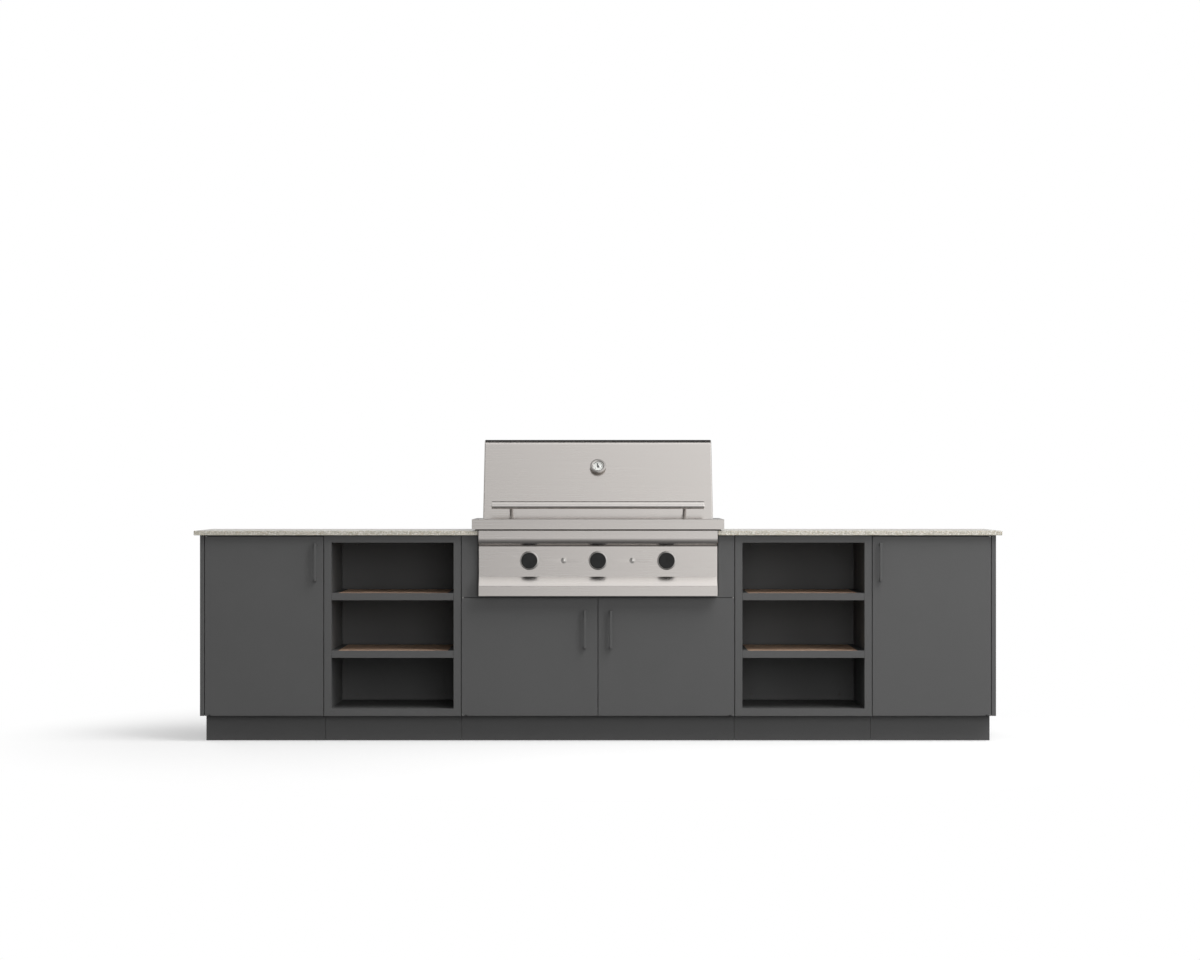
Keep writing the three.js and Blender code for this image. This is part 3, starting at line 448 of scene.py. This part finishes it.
def turned(shape, profile, centre, axis, steps, closed=False):
    """Turns an outline of (radius, distance along the axis) points about the axis."""
    axis = Vector(axis).normalized()
    across = axis.orthogonal().normalized()
    points = [shape.verts.new(Vector(centre) + across * radius + axis * along)
              for radius, along in profile]
    pairs = list(zip(points, points[1:] + points[:1]))
    if not closed:
        pairs.pop()
    outline = points + [shape.edges.new(pair) for pair in pairs]
    bmesh.ops.spin(shape, geom=outline, cent=centre, axis=axis, angle=math.tau, steps=steps,
                   use_merge=True)


def extruded(shape, outline, travel):
    """Makes a face of the outline's points and draws it out."""
    face = shape.faces.new([shape.verts.new(point) for point in outline])
    drawn = bmesh.ops.extrude_face_region(shape, geom=[face])["geom"]
    moved = [part for part in drawn if isinstance(part, bmesh.types.BMVert)]
    bmesh.ops.translate(shape, vec=travel, verts=moved)


def piece(name, shape, material, body, replaced=(), wall=None):
    """Finishes a shape as a named object that moves with a body. A shape that is an open skin
    is turned to face outwards and gets a wall, drawn inwards."""
    bmesh.ops.remove_doubles(shape, verts=shape.verts, dist=MERGE)
    bmesh.ops.recalc_face_normals(shape, faces=shape.faces)
    foremost = min(shape.faces, key=lambda face: face.calc_center_median().y)
    if wall and foremost.normal.y > 0:
        bmesh.ops.reverse_faces(shape, faces=shape.faces)
    mesh = bpy.data.meshes.new(name)
    shape.to_mesh(mesh)
    shape.free()
    mesh.materials.append(material)
    mesh.shade_smooth()
    mesh.set_sharp_from_angle(angle=SMOOTH_ANGLE)
    made = bpy.data.objects.new(name, mesh)
    bpy.context.scene.collection.objects.link(made)
    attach(made, body)
    if replaced:
        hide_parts(*replaced)
    if wall:
        sheet = made.modifiers.new("sheet", "SOLIDIFY")
        sheet.thickness = wall
        sheet.offset = -1
        sheet.use_even_offset = True
    shading = made.modifiers.new("even_shading", "WEIGHTED_NORMAL")
    shading.keep_sharp = True
    return made


def dress(nodes, material, edge=CREASE):
    """Gives parts of the frame their finish and rounds their edges."""
    for name in nodes:
        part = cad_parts[name]
        for slot in part.material_slots:
            slot.link = "OBJECT"
            slot.material = material
        weld = part.modifiers.new("joined_corners", "WELD")
        weld.merge_threshold = MERGE
        flat = part.modifiers.new("whole_faces", "DECIMATE")
        flat.decimate_type = "DISSOLVE"
        flat.angle_limit = math.radians(1)
        bend = part.modifiers.new("rounded_folds", "BEVEL")
        bend.width = edge
        bend.segments = 2
        bend.limit_method = "ANGLE"
        bend.angle_limit = math.radians(40)


def middle(node):
    low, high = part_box(node)
    return (low + high) / 2


def two_sides(*names):
    return [f"{side}_{name}" for side in ("left", "right") for name in names]


def cabinets():
    """The cabinets, their doors and all that stands in them."""
    door_edge, board_edge = 0.0012, 0.002
    dress(two_sides("door_cabinet_carcass", "open_cabinet_carcass", "end_panel", "cabinet_shelf",
                    "upper_tray", "lower_tray"), COAT)
    dress(["grill_cabinet_carcass", "grill_surround"], COAT)
    dress(two_sides("door_cabinet_plinth", "open_cabinet_plinth"), DARK_COAT)
    dress(["grill_cabinet_plinth"], DARK_COAT)
    dress(DOORS, COAT, door_edge)
    dress([f"{door}_handle" for door in DOORS], COAT, door_edge)
    dress(two_sides("upper_board", "lower_board"), WOOD, board_edge)


def pivot_rods():
    """Smooth round rods with chamfered ends in place of the faceted ones."""
    chamfer = 0.0005
    for node in ("left_door_pivot_rod", "right_door_pivot_rod", "grill_left_pivot_rod",
                 "grill_right_pivot_rod"):
        low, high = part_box(node)
        centre = middle(node)
        radius = (high.x - low.x) / 2
        length = high.z - low.z
        profile = [(0, 0), (radius - chamfer, 0), (radius, chamfer), (radius, length - chamfer),
                   (radius - chamfer, length), (0, length)]
        shape = bmesh.new()
        turned(shape, profile, (centre.x, centre.y, low.z), (0, 0, 1), 24)
        piece(node + "_turned", shape, POLISHED, "root", [node])


def counter():
    polished_edge = 0.002
    dress(["counter_left_slab", "counter_right_slab"], GRANITE, polished_edge)


def panel_profile(low, high):
    """The bent front of the control panel as (y, z) points, from its top rear corner."""
    face = low.y + PANEL_RECESS
    cove_top = high.z - PANEL_BAND
    cove_bottom = cove_top - PANEL_COVE
    flat_bottom = cove_bottom - PANEL_FLAT
    points = [(high.y, high.z), (low.y, high.z)]
    for step in range(COVE_STEPS + 1):
        turn = math.pi / 2 * step / COVE_STEPS
        points.append((low.y + PANEL_RECESS * (1 - math.cos(turn)),
                       cove_top - PANEL_COVE * math.sin(turn)))
    points += [(face, flat_bottom), (low.y, flat_bottom - PANEL_SLOPE), (low.y, low.z),
               (high.y, low.z)]
    return points, face


def place_in(profile, point):
    """Where along a (y, z) profile a point stands."""
    return next(place for place, (y, z) in enumerate(profile)
                if abs(point.y - y) < MERGE and abs(point.z - z) < MERGE)


def control_panel():
    """One bent sheet with closed ends and holes for the valve stems and igniters."""
    low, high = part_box("control_panel")
    profile, face = panel_profile(low, high)
    shape = bmesh.new()
    skin = [shape.verts.new((low.x, y, z)) for y, z in profile]
    edges = [shape.edges.new(pair) for pair in zip(skin, skin[1:])]
    drawn = bmesh.ops.extrude_edge_only(shape, edges=edges)["geom"]
    far = [part for part in drawn if isinstance(part, bmesh.types.BMVert)]
    bmesh.ops.translate(shape, vec=(high.x - low.x, 0, 0), verts=far)
    shape.faces.new(skin)
    shape.faces.new(sorted(far, key=lambda point: place_in(profile, point.co)))
    flat = max((part for part in shape.faces if abs(part.calc_center_median().y - face) < MERGE),
               key=lambda part: part.calc_area())
    rim = list(flat.edges)
    bmesh.ops.delete(shape, geom=[flat], context="FACES_ONLY")
    upright = Matrix.Rotation(math.pi / 2, 4, "X")
    holes = [(f"{word}_knob", STEM_HOLE) for word in KNOB_PLACES]
    holes += [(f"{word}_igniter_button", IGNITER_HOLE) for word in IGNITER_PLACES]
    for node, radius in holes:
        centre = middle(node)
        ring = bmesh.ops.create_circle(
            shape, segments=32, radius=radius,
            matrix=Matrix.Translation((centre.x, face, centre.z)) @ upright)["verts"]
        rim += dict.fromkeys(edge for point in ring for edge in point.link_edges)
    bmesh.ops.triangle_fill(shape, use_beauty=True, edges=rim)
    bmesh.ops.recalc_face_normals(shape, faces=shape.faces)
    round_edges(shape, sharp_edges(shape, 25), PANEL_FOLD)
    piece("control_panel_sheet", shape, BRUSHED, "root", ["control_panel"],
          wall=SHEET)
    return face


def bezels(face):
    """Pressed rings behind the knobs and the sockets of the igniter buttons."""
    thick, flat_radius, ring_radius, rim = 0.003, 0.0362, 0.042, 0.0006
    ring = [(STEM_HOLE, TOUCH), (STEM_HOLE, thick), (flat_radius, thick),
            (flat_radius + 0.001, thick - 0.0002), (ring_radius - rim, 2 * rim),
            (ring_radius, rim), (ring_radius, TOUCH)]
    for word in KNOB_PLACES:
        centre = middle(f"{word}_knob")
        shape = bmesh.new()
        turned(shape, ring, (centre.x, face, centre.z), FRONT, 72, closed=True)
        piece(f"{word}_knob_bezel", shape, SATIN_SHADED_STEEL, "root")

    bore, crown, barrel, collar, proud, sunk = 0.0086, 0.0108, 0.0096, 0.0125, 0.005, -0.02
    socket = [(bore, sunk), (bore, proud - 0.0004), (bore + 0.0006, proud), (crown, proud),
              (collar - 0.0004, proud - 0.0006), (collar, proud - 0.002), (collar, TOUCH),
              (barrel, TOUCH), (barrel, sunk)]
    for word in IGNITER_PLACES:
        centre = middle(f"{word}_igniter_button")
        shape = bmesh.new()
        turned(shape, socket, (centre.x, face, centre.z), FRONT, 48, closed=True)
        piece(f"{word}_igniter_socket", shape, POLISHED, "root")


def knobs():
    """Flat round knobs with a softened rim, a faintly dished end and flutes round the side."""
    bore, bore_depth, fillet, groove, flutes = 0.0046, 0.018, 0.003, 0.0006, 54
    chamfer, chamfer_height, dish_inset, dish = 0.002, 0.0012, 0.009, 0.0006
    rib_width, rib_root, rib_crest, rib_start, rib_stop = 0.0016, 0.0012, 0.0001, 0.002, 0.0066
    for word in KNOB_PLACES:
        node = f"{word}_knob"
        low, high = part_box(node)
        radius = (high.x - low.x) / 2
        depth = high.y - low.y
        centre = Vector(((low.x + high.x) / 2, high.y, (low.z + high.z) / 2))
        profile = [(0, bore_depth), (bore, bore_depth), (bore, 0), (radius - chamfer, 0),
                   (radius - groove, chamfer_height), (radius - groove, depth - 2 * fillet)]
        for step in range(7):
            turn = math.pi / 2 * step / 6
            profile.append((radius - fillet + fillet * math.cos(turn),
                            depth - fillet + fillet * math.sin(turn)))
        profile += [(radius - dish_inset, depth - 0.0001), (0, depth - dish)]
        shape = bmesh.new()
        turned(shape, profile, centre, FRONT, 96)
        for number in range(flutes):
            turn = Matrix.Rotation(math.tau * number / flutes, 4, "Y")
            rib = block(shape, (-rib_width / 2, rib_stop - depth, radius - rib_root),
                        (rib_width / 2, -rib_start, radius - rib_crest))
            bmesh.ops.transform(shape, matrix=Matrix.Translation(centre) @ turn, verts=rib)
        piece(node + "_moulding", shape, BLACK, f"{word}_knob_body", [node])


def stems():
    """Round valve stems with a chamfered end inside the knob."""
    chamfer = 0.0006
    for word in KNOB_PLACES:
        node = f"{word}_valve_stem"
        low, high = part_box(node)
        radius = (high.x - low.x) / 2
        length = high.y - low.y
        profile = [(0, 0), (radius, 0), (radius, length - chamfer), (radius - chamfer, length),
                   (0, length)]
        shape = bmesh.new()
        turned(shape, profile, ((low.x + high.x) / 2, high.y, (low.z + high.z) / 2), FRONT, 24)
        piece(node + "_turned", shape, POLISHED, f"{word}_stem_body", [node])


def igniters():
    """Push buttons with a softly domed end."""
    dome, dome_steps = 0.0022, 8
    for word in IGNITER_PLACES:
        node = f"{word}_igniter_button"
        low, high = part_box(node)
        radius = (high.x - low.x) / 2
        length = high.y - low.y
        profile = [(0, 0), (radius, 0)]
        for step in range(dome_steps):
            turn = math.pi / 2 * step / dome_steps
            profile.append((radius * math.cos(turn), length - dome + dome * math.sin(turn)))
        profile.append((0, length))
        shape = bmesh.new()
        turned(shape, profile, ((low.x + high.x) / 2, high.y, (low.z + high.z) / 2), FRONT, 48)
        piece(node + "_turned", shape, POLISHED, f"{word}_igniter_body", [node])


def hood_outline(low):
    """The hood's side outline as (y, z) points, from its lower front edge over the top. The
    lower edge hangs a little below the solid's, so that it meets the trim closely."""
    angle = math.atan2(HOOD_LEAN, HOOD_RISE)
    turn = math.pi / 2 - angle
    top = low.z + HOOD_RISE
    centre_y = low.y + HOOD_LEAN + HOOD_BEND * math.tan(turn / 2)
    centre_z = top - HOOD_BEND
    edge = low.z - HOOD_DROP
    points = [(low.y - HOOD_DROP * math.tan(angle), edge)]
    for step in range(HOOD_BEND_STEPS + 1):
        around = math.pi / 2 + turn * (1 - step / HOOD_BEND_STEPS)
        points.append((centre_y + HOOD_BEND * math.cos(around),
                       centre_z + HOOD_BEND * math.sin(around)))
    points += [(HOOD_TOP_REAR, top), (HOOD_REAR, low.z + HOOD_REAR_RISE), (HOOD_REAR, edge)]
    return points, angle


def hood():
    """The hood's bent skin with welded sides, open below, its hinge tabs and pins. Gives the
    matrix that lays a piece, built at the origin facing front, on the leaning front face."""
    low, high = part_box("hood")
    outline, angle = hood_outline(low)
    shape = bmesh.new()
    extruded(shape, [(low.x, y, z) for y, z in outline], (high.x - low.x, 0, 0))
    open_side = [face for face in shape.faces
                 if abs(face.normal.z) > 0.9 and face.calc_center_median().z < low.z + SHEET]
    bmesh.ops.delete(shape, geom=open_side, context="FACES")
    round_edges(shape, sharp_edges(shape, 20), HOOD_SIDE_EDGE, 5)
    piece("hood_skin", shape, BRUSHED, "hood_body", ["hood"], wall=SHEET)

    shape = bmesh.new()
    root_y = HOOD_REAR - HINGE_TAB_OVERLAP
    plate = [(root_y, HINGE_AXIS.z - HINGE_TAB)]
    for step in range(13):
        turn = math.pi / 2 * (step / 6 - 1)
        plate.append((HINGE_AXIS.y + HINGE_TAB * math.cos(turn),
                      HINGE_AXIS.z + HINGE_TAB * math.sin(turn)))
    plate.append((root_y, HINGE_AXIS.z + HINGE_TAB))
    pin = [(0, SHEET / 2), (HINGE_PIN, SHEET / 2),
           (HINGE_PIN, HINGE_PIN_LENGTH - HINGE_PIN_CHAMFER),
           (HINGE_PIN - HINGE_PIN_CHAMFER, HINGE_PIN_LENGTH), (0, HINGE_PIN_LENGTH)]
    for side in (-1, 1):
        outside = side * high.x
        extruded(shape, [(outside, y, z) for y, z in plate], (-side * SHEET, 0, 0))
        turned(shape, pin, (outside, HINGE_AXIS.y, HINGE_AXIS.z), (-side, 0, 0), 32)
    piece("hood_hinge_pins", shape, POLISHED, "hood_body")
    return Matrix.Translation((0, low.y, low.z)) @ Matrix.Rotation(-angle, 4, "X")


def lay_on_hood(lean, name, shape, material, body="hood_body", replaced=()):
    """Lays a shape on the hood's front face and finishes it as a piece."""
    bmesh.ops.transform(shape, matrix=lean, verts=shape.verts)
    piece(name, shape, material, body, replaced)


def hood_handle(lean):
    """A tube with domed end caps on two round posts."""
    radius, length, cap_depth, cap_steps = 0.017, 0.95, 0.006, 6
    standoff, height = 0.072, 0.027
    post_radius, post_x = 0.008, 0.385
    cap = []
    for step in range(1, cap_steps + 1):
        turn = math.pi / 2 * step / cap_steps
        cap.append((radius * math.sin(turn), cap_depth * (1 - math.cos(turn))))
    far = [(reach, length - along) for reach, along in reversed(cap)]
    shape = bmesh.new()
    turned(shape, [(0, 0)] + cap + far + [(0, length)], (-length / 2, -standoff, height),
           (1, 0, 0), 48)
    lay_on_hood(lean, "hood_handle_bar", shape, TUBE, replaced=["hood_handle"])

    post_end = standoff - radius * 0.8
    post = [(0, TOUCH), (post_radius, TOUCH), (post_radius, post_end), (0, post_end)]
    shape = bmesh.new()
    for side in (-1, 1):
        turned(shape, post, (side * post_x, 0, height), FRONT, 32)
    lay_on_hood(lean, "hood_handle_posts", shape, SATIN_SHADED_STEEL)


def dial_number(shape, number, size, place):
    """Adds a plain number as thin raised print, centred on a place in the dial's plane."""
    curve = bpy.data.curves.new("number", "FONT")
    curve.body = str(number)
    curve.size = size
    curve.extrude = 0.8 * PRINT
    curve.align_x = "CENTER"
    curve.align_y = "CENTER"
    holder = bpy.data.objects.new("number", curve)
    mesh = bpy.data.meshes.new_from_object(holder)
    first = len(shape.verts)
    shape.from_mesh(mesh)
    shape.verts.ensure_lookup_table()
    upright = Matrix.Translation(place) @ Matrix.Rotation(math.pi / 2, 4, "X")
    bmesh.ops.transform(shape, matrix=upright, verts=shape.verts[first:])
    bpy.data.objects.remove(holder)
    bpy.data.curves.remove(curve)
    bpy.data.meshes.remove(mesh)


def gauge_case(lean, centre, front, dial):
    """The turned case with its neck and crowned rim, and the probe inside the hood."""
    ring = (GAUGE_RADIUS - DIAL_RADIUS) / 2
    foot, neck, shoulder = 0.026, 0.0275, 0.033
    crown, crown_steps = 0.0042, 12
    profile = [(0, TOUCH), (foot, TOUCH), (neck, 0.003), (shoulder, 0.0065), (GAUGE_RADIUS, 0.009)]
    for step in range(crown_steps + 1):
        turn = math.pi * step / crown_steps
        profile.append((GAUGE_RADIUS - ring + ring * math.cos(turn),
                        front - crown + crown * math.sin(turn)))
    seat = dial - DIAL_THICKNESS
    profile += [(DIAL_RADIUS, dial), (DIAL_RADIUS, seat), (0, seat)]
    shape = bmesh.new()
    turned(shape, profile, centre, FRONT, 72)
    probe, probe_end = 0.003, -0.06
    turned(shape, [(0, probe_end), (probe, probe_end + 0.001), (probe, TOUCH / 2), (0, TOUCH / 2)],
           centre, FRONT, 20)
    lay_on_hood(lean, "thermometer_case", shape, SATIN_SHADED_STEEL, replaced=["thermometer_body"])


def round_plate(centre, radius, back, face):
    """A plate that faces front, from its back to its face."""
    shape = bmesh.new()
    turned(shape, [(0, back), (radius, back), (radius, face), (0, face)], centre, FRONT, 64)
    return shape


def gauge_print(lean, centre, dial):
    """Ticks and numbers from 50 to 350, printed on the dial."""
    numbers, small_steps, number_step = 7, 5, 50
    ticks = (numbers - 1) * small_steps
    tick_reach, number_reach, number_size = 0.0217, 0.0152, 0.0042
    back = -dial - PRINT
    face = back - PRINT
    shape = bmesh.new()
    for tick in range(ticks + 1):
        turn = Matrix.Rotation(-DIAL_SWEEP / 2 + DIAL_SWEEP * tick / ticks, 4, "Y")
        wide, long = (0.00025, 0.0017) if tick % small_steps else (0.0005, 0.003)
        bar = block(shape, (-wide, face, tick_reach - long), (wide, back, tick_reach))
        bmesh.ops.transform(shape, matrix=Matrix.Translation(centre) @ turn, verts=bar)
    for place in range(numbers):
        angle = -DIAL_SWEEP / 2 + DIAL_SWEEP * place / (numbers - 1)
        offset = Vector((math.sin(angle) * number_reach, face, math.cos(angle) * number_reach))
        dial_number(shape, number_step * (place + 1), number_size, centre + offset)
    lay_on_hood(lean, "thermometer_print", shape, INK)


def gauge_pointer(lean, centre, dial):
    """The needle's flat blade and hub. At rest it leans a little to the left."""
    clear, thick = 0.0006, 0.0008
    near = -dial - clear
    far = near - thick
    tail, tail_half, waist_half, tip, tip_half = -0.008, 0.0028, 0.0036, 0.0165, 0.001
    blade = [(-tail_half, near, tail), (tail_half, near, tail), (waist_half, near, 0),
             (tip_half, near, tip), (-tip_half, near, tip), (-waist_half, near, 0)]
    hub, hub_rise = 0.0055, 0.0005
    boss = [(0, -near), (hub, -near), (hub, -far), (hub - 0.0006, -far + hub_rise),
            (0, -far + hub_rise)]
    shape = bmesh.new()
    extruded(shape, blade, (0, far - near, 0))
    turned(shape, boss, (0, 0, 0), FRONT, 32)
    rest = Matrix.Translation(centre) @ Matrix.Rotation(-NEEDLE_LEAN, 4, "Y")
    lay_on_hood(lean @ rest, "thermometer_pointer", shape, INK, "needle_body",
                ["thermometer_needle"])


def thermometer(lean):
    """A turned case on a neck, a white dial with its print, a needle and a glass."""
    front = GAUGE_DEPTH + TOUCH
    dial = front - DIAL_DEPTH
    glass_face, glass_thickness = front - 0.0044, 0.0012
    centre = Vector((0, 0, GAUGE_HEIGHT))
    gauge_case(lean, centre, front, dial)
    plate = round_plate(centre, DIAL_RADIUS - 0.0002, dial - 0.0009, dial)
    lay_on_hood(lean, "thermometer_dial", plate, DIAL)
    gauge_print(lean, centre, dial)
    pane = round_plate(centre, DIAL_RADIUS - TOUCH, glass_face - glass_thickness, glass_face)
    lay_on_hood(lean, "thermometer_glass", pane, GLASS)
    gauge_pointer(lean, centre, dial)


def grill():
    """The trim, the firebox with what stands in it, the drip tray and the gas pipe."""
    trim_fold, brass_edge = 0.001, 0.0004
    dress(["trim_frame"], TRIM, trim_fold)
    dress(["firebox", "left_burner", "middle_burner", "right_burner", "left_grate",
           "middle_grate", "right_grate"], HEATED)
    dress(["drip_tray"], BRUSHED)
    dress(["gas_manifold"], BRASS, brass_edge)


def screw(shape, centre, axis, radius=0.004):
    """The round head of a screw, sunken in its middle."""
    sunken = 0.0012
    turned(shape, [(0, 0), (radius, 0), (radius, 0.0006), (radius * 0.85, 0.0014),
                   (radius * 0.45, 0.0019), (radius * 0.4, sunken), (0, sunken)],
           centre, axis, 20)


def small_fittings():
    """Wall screws of the open cabinets and the screws that hold the door handles."""
    wall_inset, off_middle, above_foot, below_top = 0.020, 0.203, 0.0585, 0.054
    for word in ("left", "right"):
        low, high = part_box(f"{word}_open_cabinet_carcass")
        wall = high.y - wall_inset
        centre = (low.x + high.x) / 2
        shape = bmesh.new()
        for x in (centre - off_middle, centre + off_middle):
            for z in (low.z + above_foot, high.z - below_top):
                screw(shape, (x, wall - TOUCH, z), FRONT)
        piece(f"{word}_open_cabinet_screws", shape, DARK_STEEL, "root")

    door_sheet, leg_middle = 0.0012, 0.005
    for door in DOORS:
        low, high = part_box(door)
        grip_low, grip_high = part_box(door + "_handle")
        x = (grip_low.x + grip_high.x) / 2
        shape = bmesh.new()
        for z in (grip_low.z + leg_middle, grip_high.z - leg_middle):
            screw(shape, (x, high.y - door_sheet, z), (0, 1, 0), 0.0035)
        piece(door + "_handle_screws", shape, POLISHED, door + "_body")


def camera():
    lens = SENSOR * EYE_DISTANCE / (PHOTO_WIDTH * METRES_PER_PIXEL)
    data = bpy.data.cameras.new("photograph_view")
    data.sensor_width = SENSOR
    data.lens = lens
    data.shift_x = (PHOTO_WIDTH / 2 - MIDDLE_COLUMN) / PHOTO_WIDTH
    data.shift_y = (HORIZON_ROW - PHOTO_HEIGHT / 2) / PHOTO_WIDTH
    data.clip_end = 100
    eye = bpy.data.objects.new("photograph_view", data)
    eye.location = (0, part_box("left_door")[0].y - EYE_DISTANCE, EYE_HEIGHT)
    eye.rotation_euler = (math.pi / 2, 0, 0)
    bpy.context.scene.collection.objects.link(eye)
    bpy.context.scene.camera = eye


def area_light(name, place, target, size, power):
    """A round lamp for matt surfaces, which neither the camera nor a metal surface sees."""
    data = bpy.data.lights.new(name, "AREA")
    data.shape = "DISK"
    data.size = size
    data.energy = power
    lamp = bpy.data.objects.new(name, data)
    lamp.visible_glossy = False
    lamp.visible_camera = False
    lamp.location = place
    lamp.rotation_euler = (Vector(target) - Vector(place)).to_track_quat("-Z", "Y").to_euler()
    bpy.context.scene.collection.objects.link(lamp)


def rays(shader):
    """The camera's, glossy and transmission rays as 0 or 1."""
    return [shader.node("LightPath", None, None, out)
            for out in ("Is Camera Ray", "Is Glossy Ray", "Is Transmission Ray")]


def surroundings():
    """White for the camera and through glass. Matt surfaces get soft daylight from above and in
    front. Metal mirrors a room that is dim in front to the left and bright to the right and
    overhead; straight behind it has a bright horizon under a dark wall."""
    world = bpy.data.worlds.new("studio")
    bpy.context.scene.world = world
    shader = Shader(world)
    camera_ray, glossy_ray, through_ray = rays(shader)
    x, y, z = shader.parts(shader.node("TexCoord", None, None, "Generated"))
    side = x.smooth(-0.3, 0.3)
    in_front = shader.blend(side, grey(0.06), grey(1.38))
    level = shader.blend(x.smooth(-0.6, -0.33), grey(0.6), in_front)
    zenith = shader.blend(side, grey(0.6), grey(1.95))
    overhead = shader.blend(z.smooth(0.84, 1), level, zenith)
    straight_behind = shader.blend(z.smooth(0.05, 0.35), grey(0.75), grey(0.04))
    behind = shader.blend(abs(x).smooth(0.15, 0.42), straight_behind, grey(0.6))
    mirrored = shader.blend(y.smooth(-0.08, 0.06), overhead, behind)
    ambient = shader.blend((z * 0.8 - y * 0.3).smooth(-0.2, 0.95), grey(0.05), grey(0.5))
    colour = shader.blend(glossy_ray, ambient, mirrored)
    plain = shader.blend(camera_ray.larger(through_ray), colour, grey(1))
    shown = shader.node("Background", None, {"Color": plain, "Strength": 1.0})
    shader.node("OutputWorld", None, {"Surface": shown})


def lamps():
    """A broad high lamp to the right, two low ones in front and a low one behind."""
    area_light("high_right", (4.0, -3.0, 7.0), (0, 0, 0.5), 7.0, 640)
    area_light("front_right", (6.0, -7.5, 2.2), (0, 0, 0.5), 4.0, 183)
    area_light("front", (0.8, -9.0, 1.6), (0, -0.2, 0.5), 4.0, 205)
    area_light("low_back_left", (-4.5, 7.5, 1.3), (0, 0.3, 0.5), 4.0, 300)


def pale_floor():
    """A floor that keeps the island's soft shadow near it and is white farther out. It throws
    little light up at the fronts, and metal mirrors its glow alone: painted shade near the
    island and painted light farther out, dim to the left and bright to the right."""
    half_width, sunk = 40, 0.0005
    white_from, white_at = 1.85, 2.9
    finish = Finish("pale_floor")
    x, y = finish.parts(finish.place)[:2]
    reach = (x * x + y * y).maths("SQRT")
    camera_ray, glossy_ray, through_ray = rays(finish)
    grain = finish.noise(finish.place, 40, 2)
    looked_at = camera_ray.larger(through_ray)
    pale = finish.blend(grain, paint(194, 194, 194), paint(197, 197, 197))
    matt = finish.node("BsdfPrincipled", None, {
        "Base Color": finish.blend(looked_at, paint(130, 130, 130), pale),
        "Roughness": 0.9 + grain * 0.05})
    lift = finish.node("Emission", None, {"Color": grey(1), "Strength": 0.4})
    lifted = finish.node("AddShader", None, {0: matt, 1: lift})
    near = finish.node("MixShader", None, {0: looked_at, 1: matt, 2: lifted})
    white = finish.node("Emission", None, {"Color": grey(1), "Strength": 1.0})
    far = reach.smooth(white_from, white_at) * looked_at
    viewed = finish.node("MixShader", None, {0: far, 1: near, 2: white})
    # Painted reflection for metal: painted shade near the island, painted light farther out that
    # is dim to the left and bright to the right
    horizon = finish.blend(x.smooth(-4.3, 4.3), grey(0.4), grey(1.3))
    glow = finish.node("Emission", None, {
        "Color": finish.blend(reach.smooth(0.3, 4), grey(0.075), horizon), "Strength": 1.0})
    shown = finish.node("MixShader", None, {0: glossy_ray, 1: viewed, 2: glow})
    finish.node("OutputMaterial", None, {"Surface": shown})
    shape = bmesh.new()
    bmesh.ops.create_grid(shape, x_segments=2, y_segments=2, size=half_width)
    bmesh.ops.translate(shape, vec=(0, 0, -sunk), verts=shape.verts)
    mesh = bpy.data.meshes.new("floor")
    shape.to_mesh(mesh)
    shape.free()
    mesh.materials.append(finish.owner)
    floor = bpy.data.objects.new("floor", mesh)
    bpy.context.scene.collection.objects.link(floor)


bpy.context.scene.view_settings.view_transform = "Standard"
camera()
surroundings()
lamps()
pale_floor()
cabinets()
pivot_rods()
counter()
panel_face = control_panel()
bezels(panel_face)
knobs()
stems()
igniters()
face_lean = hood()
hood_handle(face_lean)
thermometer(face_lean)
grill()
small_fittings()
